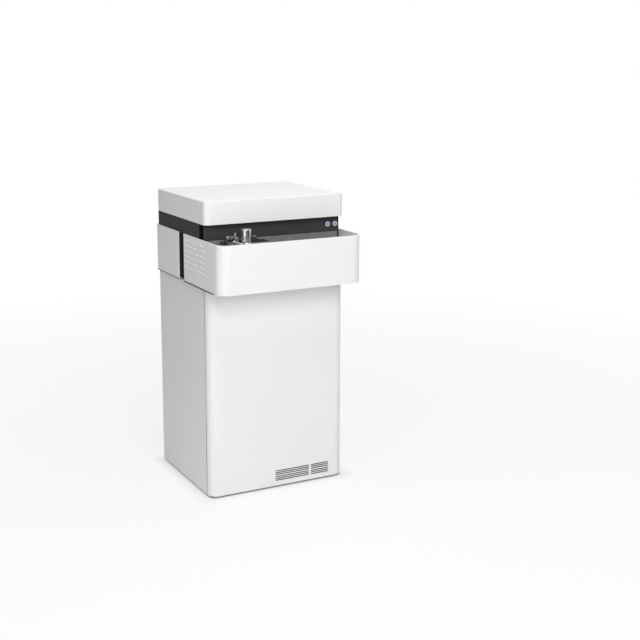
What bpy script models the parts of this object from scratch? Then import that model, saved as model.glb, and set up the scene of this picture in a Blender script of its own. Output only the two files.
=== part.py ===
"""Floor-standing spark optical emission spectrometer, built piece by piece at its real size.

Metres, +Z up, the front faces -Y, and the origin is the middle of the footprint at floor level.
From the floor up: four levelling feet, a sheet-steel cabinet on four uprights, a deck plate with a
projecting collar that makes an open well, the spark stand in that well, a dark recessed fascia with
two push-buttons, and a hood over the optics.
"""
import math

import bmesh
import bpy
from mathutils import Matrix, Vector

# Clearances and fineness shared by every piece
SEAT_GAP = 0.0003
RUN_GAP = 0.0005
OVERRUN = 0.004
WELD = 0.00001
MERGE = 0.0001
SHARP_ANGLE = 30.0
FULL_TURN = 360.0
CORNER_STEPS = 8
SMALL_CORNER_STEPS = 4
FINE_STEPS = 40
ROUND_STEPS = 24
SMALL_STEPS = 16

# Hood
HOOD_WIDTH = 0.640
HOOD_DEPTH = 0.545
HOOD_HEIGHT = 0.095
HOOD_WALL = 0.003
HOOD_CORNER = 0.024
HOOD_EDGE = 0.0025
HOOD_EDGE_STEPS = 3
PAN_THICKNESS = 0.003
PAN_RIM = 0.032

# Collar round the open well
COLLAR_PROUD = 0.005
COLLAR_WIDTH = HOOD_WIDTH + 2 * COLLAR_PROUD
COLLAR_REACH = 0.158
COLLAR_UNDERSIDE = 0.893
COLLAR_HEIGHT = 0.201
COLLAR_WALL = 0.005
COLLAR_CORNER = 0.048
COLLAR_REAR_CORNER = 0.014
COLLAR_EDGE = 0.0015
CHANNEL_SETBACK = 0.222
CHANNEL_WIDTH = 0.060
STRIP_FACE_DEPTH = 0.0025
STRIP_STEP_DEPTH = 0.0050
STRIP_BACK = 0.0018
STRIP_LAP = 0.008
STRIP_DARK_SHARE = 0.38

# Louvres stamped out of the collar sides, each a small hood over a slot
LOUVRE_COLUMNS = 7
LOUVRE_ROWS = 6
LOUVRE_LENGTH = 0.0145
LOUVRE_HEIGHT = 0.0072
LOUVRE_PROUD = 0.0032
LOUVRE_TAPER = 0.0022
LOUVRE_LIP = 0.0009
LOUVRE_MOUTH = 0.0018
LOUVRE_SILL = 0.0006
LOUVRE_COLUMN_PITCH = 0.0343
LOUVRE_ROW_PITCH = 0.0226
LOUVRE_FIRST_SETBACK = 0.0015
LOUVRE_LOWEST_RISE = 0.066

# Fascia and the frame behind it
FASCIA_SETBACK = 0.0365
FASCIA_SIDE_INSET = 0.003
FASCIA_REAR_INSET = 0.010
FASCIA_END_INSET = 0.0104
FASCIA_CORNER_SETBACK = 0.0640
FASCIA_HEIGHT = 0.068
FASCIA_DIP = 0.007
FASCIA_THICKNESS = 0.006
FASCIA_EDGE = 0.0010
FRAME_WALL = 0.0015

# Push-buttons
BUTTON_FROM_END = 0.0145
BUTTON_SPACING = 0.0347
BUTTON_DROP = 0.036
BEZEL_RADIUS = 0.0128
BEZEL_PROUD = 0.0030
BEZEL_CHAMFER = 0.0010
BEZEL_BODY_RADIUS = 0.0103
BEZEL_BODY_LENGTH = 0.026
BUTTON_RADIUS = 0.0086
BUTTON_PROUD = 0.0016
BUTTON_TRAVEL = 0.0025
BUTTON_LENGTH = 0.0120
BUTTON_DISH = 0.0008

# Lower cabinet
CABINET_SIDE_INSET = 0.005
CABINET_WIDTH = HOOD_WIDTH - 2 * CABINET_SIDE_INSET
CABINET_REACH = 0.014
CABINET_CORNER = 0.040
CABINET_REAR_INSET = 0.008
PANEL_WALL = 0.002
PANEL_BOTTOM = 0.008
PANEL_TOP_GAP = 0.006
SEAM_WIDTH = 0.007
REAR_RECESS = 0.020

# Louvre slots low on the front panel
VENT_LOWEST = 0.0302
VENT_SLOT_HEIGHT = 0.0030
VENT_LAND = 0.0050
VENT_ROWS = 3
VENT_BAND_LAND = 0.0067
VENT_BANDS = 2
VENT_WEB = 0.0034
VENT_GROUP_GAP = 0.0104
VENT_RIGHT_EDGE = 0.241
VENT_WIDE_LENGTH = 0.1614
VENT_SHORT_LENGTH = 0.0845
VENT_WIDE_COUNT = 4
VENT_SHORT_COUNT = 2

# Base tray, feet, uprights, shelf and deck plate
FOOT_HEIGHT = 0.013
FOOT_PAD_RADIUS = 0.024
FOOT_PAD_HEIGHT = 0.007
FOOT_PAD_CHAMFER = 0.002
FOOT_NUT_RADIUS = 0.0095
FOOT_STUD_RADIUS = 0.005
FOOT_STUD_RISE = 0.026
FOOT_INSET = 0.060
TRAY_WALL = 0.0025
TRAY_FLANGE = 0.040
UPRIGHT_LEG = 0.032
UPRIGHT_WALL = 0.0025
SHELF_HEIGHT = 0.470
SHELF_THICKNESS = 0.003
SHELF_LIP = 0.022
DECK_THICKNESS = 0.004
DECK_HOLE_WIDTH = 0.300
DECK_HOLE_DEPTH = 0.120

# Well floor and its back wall
WELL_DEPTH = 0.055
WELL_FLOOR_THICKNESS = 0.002
WELL_BACK_SETBACK = 0.0385
WELL_BACK_THICKNESS = 0.002

# Spark stand
PLATE_LEFT = 0.074
PLATE_WIDTH = 0.190
PLATE_FRONT_MARGIN = 0.022
PLATE_REAR_MARGIN = 0.0235
PLATE_SINK = 0.011
PLATE_THICKNESS = 0.006
PLATE_CORNER = 0.010
PLATE_EDGE = 0.0012
APERTURE_FROM_LEFT = 0.041
APERTURE_FROM_REAR = 0.033
APERTURE_RADIUS = 0.006
APERTURE_FLARE = 0.012
APERTURE_LAND = 0.002
STAND_WIDTH = 0.130
STAND_DEPTH = 0.104
STAND_MARGIN = 0.014
STAND_SIDE_MARGIN = 0.007
STAND_DROP = 0.052
STAND_FLANGE = 0.006
STAND_FLANGE_HEIGHT = 0.008
SPARK_BORE_RADIUS = 0.016
SPARK_BORE_DEPTH = 0.036
SPARK_GAP = 0.0034
ELECTRODE_RADIUS = 0.003
ELECTRODE_LENGTH = 0.055
INSULATOR_RADIUS = 0.011
INSULATOR_COLLAR_RADIUS = 0.0145
INSULATOR_RISE = 0.010
LIGHT_DROP = 0.015

# Chrome column, swing arm, plunger, lever and plate knob on the spark stand
COLUMN_RADIUS = 0.0200
COLUMN_HEIGHT = 0.0605
COLUMN_CHAMFER = 0.0012
COLUMN_FROM_LEFT = 0.081
COLUMN_FROM_FRONT = 0.059
HUB_RADIUS = 0.0272
HUB_HEIGHT = 0.0040
WEB_WIDTH = 0.0080
WEB_HEIGHT = 0.0035
HANDLE_SHIFT = 0.0040
HANDLE_RISE = 0.0058
HANDLE_NECK_RADIUS = 0.0028
HANDLE_RADIUS = 0.0046
HANDLE_TIP_RADIUS = 0.0030
HANDLE_NECK_LENGTH = 0.0140
HANDLE_TAPER = 0.0060
HANDLE_ROUND = 0.0022
HANDLE_LENGTH = 0.0840
CUP_RADIUS = 0.0286
CUP_WALL = 0.0030
CUP_HEIGHT = 0.0210
CUP_FLARE = 0.0012
CUP_WINDOW_WIDTH = 0.0340
CUP_WINDOW_SILL = 0.0092
CUP_WINDOW_TURN = 27.5
BRIDGE_WIDTH = 0.0160
BRIDGE_THICKNESS = 0.0030
PLUNGER_TRAVEL = 0.0025
PLUNGER_RADIUS = 0.0045
PLUNGER_PAD_RADIUS = 0.0085
PLUNGER_PAD_HEIGHT = 0.0020
KNOB_RADIUS = 0.0120
KNOB_HEIGHT = 0.0125
KNOB_ROUND = 0.0035
KNOB_ROUND_STEPS = 4
LEVER_RADIUS = 0.0016
LEVER_LENGTH = 0.0105
LEVER_BALL_RADIUS = 0.0026
LEVER_BALL_STEPS = 6
BARREL_RADIUS = 0.0022
LUG_HEIGHT = 0.0050
LUG_WIDTH = 0.0025
LUG_GAP = 0.0048
LUG_DEPTH = 0.0050
PLATE_KNOB_RADIUS = 0.0108
PLATE_KNOB_HEIGHT = 0.0170
PLATE_KNOB_STEM = 0.0024
PLATE_KNOB_STEM_DROP = 0.0040
PLATE_KNOB_FROM_RIGHT = 0.042
PLATE_KNOB_FROM_REAR = 0.015
PLATE_KNOB_RIBS = 12
PLATE_KNOB_RIB_DEPTH = 0.0008

# Optical chamber and what it holds
CHAMBER_SIDE_MARGIN = 0.0492
CHAMBER_REAR_MARGIN = 0.0672
CHAMBER_HEIGHT = 0.170
CHAMBER_WALL = 0.012
CHAMBER_CORNER = 0.030
CHAMBER_FOOT_RADIUS = 0.016
CHAMBER_FOOT_INSET = 0.045
CHAMBER_SETBACK = 0.110
CHAMBER_HALF_SHARE = 0.5
LID_THICKNESS = 0.010
LID_LAP = 0.006
TUBE_RADIUS = 0.009
TUBE_BORE = 0.006
SLIT_WIDTH = 0.034
SLIT_DEPTH = 0.022
SLIT_HEIGHT = 0.060
SLIT_HOLE = 0.004
GRATING_RADIUS = 0.028
GRATING_THICKNESS = 0.010
GRATING_DISH = 0.0025
GRATING_DISH_SHARE = 0.75
MOUNT_WIDTH = 0.084
MOUNT_DEPTH = 0.020
MOUNT_FOOT = 0.050
MOUNT_FOOT_HEIGHT = 0.010
GRATING_FROM_REAR = 0.045
GRATING_OFFSET = 0.065
RAIL_RADIUS = 0.190
RAIL_WIDTH = 0.018
RAIL_HEIGHT = 0.070
RAIL_END_GAP = 0.0405
RAIL_STEPS = 14
READOUT_WIDTH = 0.260
READOUT_DEPTH = 0.180
READOUT_HEIGHT = 0.046

# Boxes of electronics and gas parts inside the cabinet
BOX_EDGE = 0.003
SOURCE_GAP = 0.090
SOURCE_FOOT_GAP = 0.052
SOURCE_HEIGHT = 0.260
SOURCE_FROM_FRONT = 0.080
SOURCE_BUSHING_RADIUS = 0.020
SOURCE_BUSHING_HEIGHT = 0.040
SOURCE_BUSHING_SHARE = 0.25
SUPPLY_WIDTH = 0.170
SUPPLY_DEPTH = 0.260
SUPPLY_HEIGHT = 0.120
SUPPLY_FINS = 9
SUPPLY_FIN_HEIGHT = 0.022
SUPPLY_FIN_THICKNESS = 0.004
INNER_SIDE_MARGIN = 0.045
CONTROL_GAP = 0.140
CONTROL_DEPTH = 0.260
CONTROL_HEIGHT = 0.090
GAS_WIDTH = 0.150
GAS_DEPTH = 0.070
GAS_HEIGHT = 0.040
GAS_VALVES = 3
GAS_VALVE_RADIUS = 0.014
GAS_VALVE_HEIGHT = 0.042
FILTER_RADIUS = 0.036
FILTER_HEIGHT = 0.190
FILTER_CAP_HEIGHT = 0.022
FILTER_CAP_PROUD = 0.004
FILTER_SPOUT_RADIUS = 0.007
FILTER_SPOUT_HEIGHT = 0.014

# Rear panel fittings
FAN_SIZE = 0.120
FAN_DEPTH = 0.038
FAN_BORE = 0.057
FAN_CORNER = 0.006
FAN_DROP = 0.203
FAN_HUB_RADIUS = 0.022
FAN_SPOKE = 0.005
FAN_SPOKE_DEPTH = 0.004
ROTOR_HUB_DEPTH = 0.024
ROTOR_TIP_GAP = 0.0015
BLADE_COUNT = 7
BLADE_THICKNESS = 0.0020
BLADE_PITCH = 38.0
BLADE_REACH_SHARE = 0.667
GRILLE_BAR = 0.005
GRILLE_SLOT = 0.0065
GRILLE_ROWS = 9
INLET_WIDTH = 0.058
INLET_HEIGHT = 0.030
INLET_FLANGE = 0.0025
INLET_BODY_MARGIN = 0.003
INLET_BODY_DEPTH = 0.028
INLET_FROM_LEFT = 0.110
INLET_RISE = 0.110
SOCKET_WIDTH = 0.026
SOCKET_HEIGHT = 0.020
SOCKET_DEPTH = 0.018
SOCKET_EDGE = 0.0045
ROCKER_WIDTH = 0.0125
ROCKER_HEIGHT = 0.0200
ROCKER_DEPTH = 0.0090
ROCKER_END_GAP = 0.0012
ROCKER_PROUD = 0.0030
ROCKER_TILT = 9.0
ROCKER_WAIST_SHARE = 0.75
FITTING_RADIUS = 0.0105
FITTING_HEX_DEPTH = 0.006
FITTING_STEM = 0.0055
FITTING_LENGTH = 0.013
FITTING_BORE = 0.0028
FITTING_FROM_RIGHT = 0.110
FITTING_RISE = 0.125
HEX_STEPS = 6

# Places that follow from the sizes above
DEPTH_OVERALL = COLLAR_REACH + HOOD_DEPTH
COLLAR_FRONT = -DEPTH_OVERALL / 2
HOOD_FRONT = COLLAR_FRONT + COLLAR_REACH
REAR = DEPTH_OVERALL / 2
RIM = COLLAR_UNDERSIDE + COLLAR_HEIGHT
FASCIA_BOTTOM = RIM - FASCIA_DIP
HOOD_BOTTOM = FASCIA_BOTTOM + FASCIA_HEIGHT
HOOD_TOP = HOOD_BOTTOM + HOOD_HEIGHT
FASCIA_FRONT = HOOD_FRONT + FASCIA_SETBACK
FASCIA_REAR = REAR - FASCIA_REAR_INSET
FASCIA_HALF = HOOD_WIDTH / 2 - FASCIA_SIDE_INSET
FASCIA_END = HOOD_WIDTH / 2 - FASCIA_END_INSET
FRAME_FRONT = FASCIA_FRONT + FASCIA_THICKNESS + SEAT_GAP
FRAME_HALF = FASCIA_HALF - FASCIA_THICKNESS - SEAT_GAP
FRAME_REAR = FASCIA_REAR - FASCIA_THICKNESS - SEAT_GAP
CABINET_FRONT = HOOD_FRONT - CABINET_REACH
CABINET_REAR = REAR - CABINET_REAR_INSET
SEAM_START = CABINET_FRONT + CABINET_CORNER
SEAM_END = SEAM_START + SEAM_WIDTH
REAR_PANEL_BACK = CABINET_REAR - REAR_RECESS
REAR_PANEL_FRONT = REAR_PANEL_BACK - PANEL_WALL
PANEL_TOP = COLLAR_UNDERSIDE - PANEL_TOP_GAP
INNER_HALF = CABINET_WIDTH / 2 - PANEL_WALL - SEAT_GAP
INNER_FRONT = CABINET_FRONT + PANEL_WALL + SEAT_GAP
INNER_REAR = REAR_PANEL_FRONT - SEAT_GAP
INNER_CORNER = CABINET_CORNER - PANEL_WALL - SEAT_GAP
TRAY_FLOOR_TOP = FOOT_HEIGHT + TRAY_WALL
STRUT_HALF = INNER_HALF - TRAY_WALL - SEAT_GAP
STRUT_REAR = INNER_REAR - TRAY_WALL - SEAT_GAP
STRUT_FRONT = SEAM_START + SEAT_GAP
SOURCE_WIDTH = 2 * (STRUT_HALF - INNER_SIDE_MARGIN) - SUPPLY_WIDTH - SOURCE_GAP
SOURCE_FRONT = INNER_FRONT + SOURCE_FROM_FRONT
SOURCE_DEPTH = INNER_REAR - FOOT_INSET - FOOT_STUD_RADIUS - SOURCE_FOOT_GAP - SOURCE_FRONT
CONTROL_WIDTH = 2 * (STRUT_HALF - INNER_SIDE_MARGIN) - GAS_WIDTH - CONTROL_GAP
DECK_TOP = COLLAR_UNDERSIDE + DECK_THICKNESS
FAN_HEIGHT = COLLAR_UNDERSIDE - FAN_DROP
WELL_HALF = COLLAR_WIDTH / 2 - COLLAR_WALL - SEAT_GAP
WELL_FRONT = COLLAR_FRONT + COLLAR_WALL + SEAT_GAP
WELL_CORNER = COLLAR_CORNER - COLLAR_WALL - SEAT_GAP
WELL_FLOOR = RIM - WELL_DEPTH
WELL_BACK = HOOD_FRONT + WELL_BACK_SETBACK
PLATE_TOP = RIM - PLATE_SINK
PLATE_BOTTOM = PLATE_TOP - PLATE_THICKNESS
PLATE_X0 = -COLLAR_WIDTH / 2 + PLATE_LEFT
PLATE_X1 = PLATE_X0 + PLATE_WIDTH
PLATE_Y0 = COLLAR_FRONT + COLLAR_WALL + PLATE_FRONT_MARGIN
PLATE_Y1 = WELL_BACK - PLATE_REAR_MARGIN
APERTURE = (PLATE_X0 + APERTURE_FROM_LEFT, PLATE_Y1 - APERTURE_FROM_REAR)
COLUMN = (PLATE_X0 + COLUMN_FROM_LEFT, PLATE_Y0 + COLUMN_FROM_FRONT)
STAND_TOP = PLATE_BOTTOM - SEAT_GAP
LIGHT_HEIGHT = PLATE_BOTTOM - LIGHT_DROP
CHAMBER_WIDTH = 2 * (FRAME_HALF - FRAME_WALL - CHAMBER_SIDE_MARGIN)
CHAMBER_FRONT = HOOD_FRONT + CHAMBER_SETBACK
CHAMBER_REAR = FRAME_REAR - FRAME_WALL - CHAMBER_REAR_MARGIN
CHAMBER_BOTTOM = LIGHT_HEIGHT - CHAMBER_HEIGHT * CHAMBER_HALF_SHARE
CHAMBER_TOP = CHAMBER_BOTTOM + CHAMBER_HEIGHT
CHAMBER_FLOOR = CHAMBER_BOTTOM + CHAMBER_WALL

# Colour, roughness and metallic value of each finish
WHITE_PAINT = ((0.86, 0.86, 0.86), 0.42, 0.0)
DARK_PANEL = ((0.052, 0.052, 0.055), 0.50, 0.0)
BLACK_PLASTIC = ((0.012, 0.012, 0.014), 0.55, 0.0)
GREY_PANEL = ((0.20, 0.20, 0.205), 0.50, 0.0)
ZINC_SHEET = ((0.58, 0.60, 0.62), 0.42, 0.9)
CHROME = ((0.80, 0.80, 0.80), 0.12, 1.0)
NAVY_PLATE = ((0.020, 0.026, 0.050), 0.32, 0.3)
ALUMINIUM = ((0.66, 0.67, 0.69), 0.38, 1.0)
CAST_GREY = ((0.32, 0.33, 0.34), 0.60, 0.6)
TUNGSTEN = ((0.28, 0.28, 0.30), 0.40, 1.0)
CERAMIC = ((0.85, 0.82, 0.76), 0.60, 0.0)
BROWN_KNOB = ((0.16, 0.13, 0.115), 0.45, 0.2)
GLASS_GREY = ((0.45, 0.50, 0.56), 0.08, 0.6)
LAVENDER_RING = ((0.62, 0.62, 0.74), 0.30, 0.2)
BUTTON_WHITE = ((0.70, 0.72, 0.82), 0.35, 0.0)
RUBBER = ((0.03, 0.03, 0.03), 0.80, 0.0)
BRASS = ((0.60, 0.45, 0.20), 0.35, 1.0)
CIRCUIT_BOX = ((0.42, 0.44, 0.46), 0.50, 0.4)


def clear_scene():
    """Empties the scene, so that the model starts from nothing."""
    for item in list(bpy.data.objects):
        bpy.data.objects.remove(item, do_unlink=True)


def new_collection(name):
    """A collection of its own in the scene."""
    group = bpy.data.collections.new(name)
    bpy.context.scene.collection.children.link(group)
    return group


def add_object(name, data, group):
    """An object for a mesh or a curve, in one collection."""
    item = bpy.data.objects.new(name, data)
    group.objects.link(item)
    return item


def dress(item, finish):
    """Gives a piece its own material."""
    colour, roughness, metallic = finish
    paint = bpy.data.materials.new(item.name + "_finish")
    paint.use_nodes = True
    shader = paint.node_tree.nodes["Principled BSDF"]
    shader.inputs["Base Color"].default_value = (*colour, 1.0)
    shader.inputs["Roughness"].default_value = roughness
    shader.inputs["Metallic"].default_value = metallic
    paint.diffuse_color = (*colour, 1.0)
    item.data.materials.append(paint)
    return item


def smooth(item):
    """Smooth shading with crisp edges."""
    item.data.shade_smooth()
    item.data.set_sharp_from_angle(angle=math.radians(SHARP_ANGLE))
    return item


def guide(item):
    """Marks a cutter or a joining body: it shapes a piece and is no piece itself."""
    item.hide_render = True
    item.display_type = "WIRE"
    return item


def arc(centre, radius, start, end, steps):
    """Points along an arc, both ends included; the angles are in degrees."""
    points = []
    for index in range(steps + 1):
        angle = math.radians(start + (end - start) * index / steps)
        points.append((centre[0] + radius * math.cos(angle), centre[1] + radius * math.sin(angle)))
    return points


def circle(centre, radius, steps=ROUND_STEPS):
    """Points round a full circle."""
    return arc(centre, radius, 0, FULL_TURN, steps)[:-1]


def rectangle(x0, x1, y0, y1):
    """A rectangle's four corners."""
    return [(x0, y0), (x1, y0), (x1, y1), (x0, y1)]


def rounded_rectangle(x0, x1, y0, y1, low_radius, high_radius, steps=SMALL_CORNER_STEPS):
    """A rectangle with one corner radius at its low-y side and another at its high-y side."""
    points = []
    quarter = FULL_TURN / 4
    corners = [
        (x0, y0, 1, 1, low_radius, 2 * quarter),
        (x1, y0, -1, 1, low_radius, 3 * quarter),
        (x1, y1, -1, -1, high_radius, 0),
        (x0, y1, 1, -1, high_radius, quarter),
    ]
    for x, y, into_x, into_y, radius, start in corners:
        if radius == 0:
            points.append((x, y))
            continue
        centre = (x + into_x * radius, y + into_y * radius)
        points += arc(centre, radius, start, start + quarter, steps)
    return points


def wrap_path(half_width, closed, opened, radius, steps):
    """The path of a wall that runs down one side, round two corners and up the other side."""
    way = 1 if opened > closed else -1
    quarter = FULL_TURN / 4
    left = arc((-half_width + radius, 0), radius, 2 * quarter, 3 * quarter, steps)
    right = arc((half_width - radius, 0), radius, 3 * quarter, FULL_TURN, steps)
    bend = [(x, closed + way * (radius + y)) for x, y in left + right]
    return [(-half_width, opened)] + bend + [(half_width, opened)]


def wrap_outline(half_width, closed, opened, radius, wall, steps=CORNER_STEPS):
    """The closed outline of a U-shaped wall of even thickness."""
    way = 1 if opened > closed else -1
    outer = wrap_path(half_width, closed, opened, radius, steps)
    inner = wrap_path(half_width - wall, closed + way * wall, opened, radius - wall, steps)
    return outer + inner[::-1]


def block_into(mesh, low, high):
    """Adds one box to a bmesh."""
    low, high = Vector(low), Vector(high)
    size = high - low
    place = Matrix.Translation((low + high) / 2) @ Matrix.Diagonal((*size, 1))
    bmesh.ops.create_cube(mesh, size=1, matrix=place)


def blocks(name, boxes, group):
    """One mesh object made of separate boxes."""
    shape = bmesh.new()
    for low, high in boxes:
        block_into(shape, low, high)
    data = bpy.data.meshes.new(name)
    shape.to_mesh(data)
    shape.free()
    return add_object(name, data, group)


def tidy_mesh(data, place, mirrored):
    """Welds a mesh and puts each point in place; a mirrored place turns the faces round."""
    shape = bmesh.new()
    shape.from_mesh(data)
    bmesh.ops.remove_doubles(shape, verts=shape.verts, dist=WELD)
    for vertex in shape.verts:
        vertex.co = place(vertex.co)
    if mirrored:
        bmesh.ops.reverse_faces(shape, faces=shape.faces)
    shape.to_mesh(data)
    shape.free()


def slab(name, outlines, low, high, group, facing="Z"):
    """A flat plate from outlines: the first is its edge and the rest are holes through it.

    Facing Z the outlines are in x and y, facing Y in x and z, and facing X in y and z.
    """
    middle = (low + high) / 2
    orders = {
        "Z": lambda p: (p.x, p.y, p.z + middle),
        "Y": lambda p: (p.x, p.z + middle, p.y),
        "X": lambda p: (p.z + middle, p.x, p.y),
    }
    curve = bpy.data.curves.new(name + "_outline", "CURVE")
    curve.dimensions = "2D"
    curve.fill_mode = "BOTH"
    curve.extrude = (high - low) / 2
    for outline in outlines:
        spline = curve.splines.new("POLY")
        spline.points.add(len(outline) - 1)
        for point, (u, v) in zip(spline.points, outline):
            point.co = (u, v, 0, 1)
        spline.use_cyclic_u = True
    flat = add_object(name + "_flat", curve, group)
    graph = bpy.context.evaluated_depsgraph_get()
    data = bpy.data.meshes.new_from_object(flat.evaluated_get(graph))
    bpy.data.objects.remove(flat, do_unlink=True)
    data.name = name
    tidy_mesh(data, orders[facing], facing == "Y")
    return add_object(name, data, group)


def turned(name, profile, steps, group, place=(0, 0, 0), facing="Z", ring=False):
    """A turned piece: a profile of radius and height, from the top down its outer side.

    A ring's profile closes on itself. Facing Y, height runs along +Y, and facing -Y along -Y.
    """
    data = bpy.data.meshes.new(name)
    points = [(radius, 0, height) for radius, height in profile]
    edges = [(index, index + 1) for index in range(len(points) - 1)]
    if ring:
        edges.append((len(points) - 1, 0))
    data.from_pydata(points, edges, [])
    item = add_object(name, data, group)
    spin = item.modifiers.new("turn", "SCREW")
    spin.axis = "Z"
    spin.steps = steps
    spin.render_steps = steps
    spin.use_merge_vertices = True
    spin.merge_threshold = MERGE
    spin.use_smooth_shade = False
    item.location = place
    quarter = math.radians(FULL_TURN / 4)
    item.rotation_euler = {"Z": (0, 0, 0), "Y": (-quarter, 0, 0), "-Y": (quarter, 0, 0)}[facing]
    return item


def combine(base, other, operation):
    """Joins a guide body to a piece, or cuts it out."""
    step = base.modifiers.new(other.name, "BOOLEAN")
    step.operation = operation
    step.solver = "EXACT"
    step.object = guide(other)
    return base


def cut(base, other):
    """Cuts a guide body out of a piece."""
    return combine(base, other, "DIFFERENCE")


def join(base, other):
    """Joins a guide body to a piece."""
    return combine(base, other, "UNION")


def round_edges(item, width, segments=2):
    """Rounds a piece's sharp edges."""
    step = item.modifiers.new("edge", "BEVEL")
    step.width = width
    step.segments = segments
    step.limit_method = "ANGLE"
    step.angle_limit = math.radians(SHARP_ANGLE)
    step.use_clamp_overlap = True
    return item


def move_origin(item, point):
    """Puts a moving piece's origin on its joint axis, with its shape where it was."""
    point = Vector(point)
    item.data.transform(Matrix.Translation(item.location - point))
    item.location = point
    return item


def make_hood(parts):
    """White sheet cover with rounded corners, open underneath."""
    half = HOOD_WIDTH / 2
    outline = rounded_rectangle(-half, half, HOOD_FRONT, REAR, HOOD_CORNER, HOOD_CORNER)
    shape = bmesh.new()
    ring = [shape.verts.new((x, y, HOOD_TOP)) for x, y in outline]
    top = shape.faces.new(ring)
    skirt = bmesh.ops.extrude_edge_only(shape, edges=top.edges[:])
    lower = [item for item in skirt["geom"] if isinstance(item, bmesh.types.BMVert)]
    bmesh.ops.translate(shape, verts=lower, vec=(0, 0, -HOOD_HEIGHT))
    rim = top.edges[:]
    bmesh.ops.bevel(shape, geom=rim, offset=HOOD_EDGE, segments=HOOD_EDGE_STEPS, profile=0.5, affect="EDGES")
    bmesh.ops.recalc_face_normals(shape, faces=shape.faces)
    data = bpy.data.meshes.new("hood")
    shape.to_mesh(data)
    shape.free()
    hood = add_object("hood", data, parts)
    shell = hood.modifiers.new("wall", "SOLIDIFY")
    shell.thickness = HOOD_WALL
    shell.offset = -1
    shell.use_even_offset = True
    return smooth(dress(hood, WHITE_PAINT))


def make_hood_pan(parts):
    """Ring plate inside the hood's lower edge, which rests on the frame."""
    half = HOOD_WIDTH / 2 - HOOD_WALL - SEAT_GAP
    front = HOOD_FRONT + HOOD_WALL + SEAT_GAP
    rear = REAR - HOOD_WALL - SEAT_GAP
    radius = HOOD_CORNER - HOOD_WALL - SEAT_GAP
    outer = rounded_rectangle(-half, half, front, rear, radius, radius)
    opening = rectangle(
        -FRAME_HALF + PAN_RIM, FRAME_HALF - PAN_RIM, FRAME_FRONT + PAN_RIM, FRAME_REAR - PAN_RIM
    )
    pan = slab("hood_pan", [outer, opening], HOOD_BOTTOM, HOOD_BOTTOM + PAN_THICKNESS, parts)
    return dress(pan, BLACK_PLASTIC)


def louvre_places():
    """The middle of each louvre in a collar side, as y and z."""
    places = []
    for column in range(LOUVRE_COLUMNS):
        for row in range(LOUVRE_ROWS):
            y = HOOD_FRONT + LOUVRE_FIRST_SETBACK + column * LOUVRE_COLUMN_PITCH
            z = COLLAR_UNDERSIDE + LOUVRE_LOWEST_RISE + row * LOUVRE_ROW_PITCH
            places.append((y, z))
    return places


def louvre_hoods(side, cutters):
    """The little hoods of one collar side: boxes whose outer ends are drawn in and down to a lip."""
    face = COLLAR_WIDTH / 2
    root = COLLAR_WALL / 2
    spread = root / LOUVRE_PROUD
    shape = bmesh.new()
    for y, z in louvre_places():
        low, high = z - LOUVRE_HEIGHT / 2, z + LOUVRE_HEIGHT / 2
        fall = high - low - LOUVRE_LIP
        half = LOUVRE_LENGTH / 2
        old = set(shape.verts)
        block_into(shape, (-root, y - half, low), (LOUVRE_PROUD, y + half, high))
        for corner in set(shape.verts) - old:
            outside = corner.co.x > 0
            reach = half - LOUVRE_TAPER if outside else half + LOUVRE_TAPER * spread
            if corner.co.z > z:
                corner.co.z = low + LOUVRE_LIP if outside else high + fall * spread
            corner.co.y = y + math.copysign(reach, corner.co.y - y)
            corner.co.x = side * (face + corner.co.x)
    if side < 0:
        bmesh.ops.reverse_faces(shape, faces=shape.faces)
    data = bpy.data.meshes.new("louvre_hoods")
    shape.to_mesh(data)
    shape.free()
    return add_object("louvre_hoods_left" if side < 0 else "louvre_hoods_right", data, cutters)


def louvre_slots(side, cutters):
    """The slots of one collar side, each open downward under its hood."""
    face = COLLAR_WIDTH / 2
    half = LOUVRE_LENGTH / 2 - LOUVRE_TAPER - LOUVRE_LIP
    depths = sorted((side * (face - COLLAR_WALL - OVERRUN), side * (face + LOUVRE_PROUD - LOUVRE_LIP)))
    boxes = []
    for y, z in louvre_places():
        low = z - LOUVRE_HEIGHT / 2
        first = (depths[0], y - half, low - LOUVRE_SILL)
        boxes.append((first, (depths[1], y + half, low + LOUVRE_MOUTH)))
    return blocks("louvre_slots_left" if side < 0 else "louvre_slots_right", boxes, cutters)


def make_collar_front(parts, cutters):
    """White wall round the front of the well, with large front corners and louvred sides."""
    opened = HOOD_FRONT + CHANNEL_SETBACK
    outline = wrap_outline(COLLAR_WIDTH / 2, COLLAR_FRONT, opened, COLLAR_CORNER, COLLAR_WALL)
    collar = slab("collar_front", [outline], COLLAR_UNDERSIDE, RIM, parts)
    round_edges(collar, COLLAR_EDGE)
    for side in (-1, 1):
        join(collar, louvre_hoods(side, cutters))
        cut(collar, louvre_slots(side, cutters))
    return smooth(dress(collar, WHITE_PAINT))


def make_collar_rear(parts):
    """White wall round the back, between the two dark channels."""
    opened = HOOD_FRONT + CHANNEL_SETBACK + CHANNEL_WIDTH
    sizes = (COLLAR_WIDTH / 2, REAR, opened, COLLAR_REAR_CORNER, COLLAR_WALL)
    outline = wrap_outline(*sizes, steps=SMALL_CORNER_STEPS)
    collar = slab("collar_rear", [outline], COLLAR_UNDERSIDE, RIM, parts)
    round_edges(collar, COLLAR_EDGE)
    return smooth(dress(collar, WHITE_PAINT))


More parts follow.
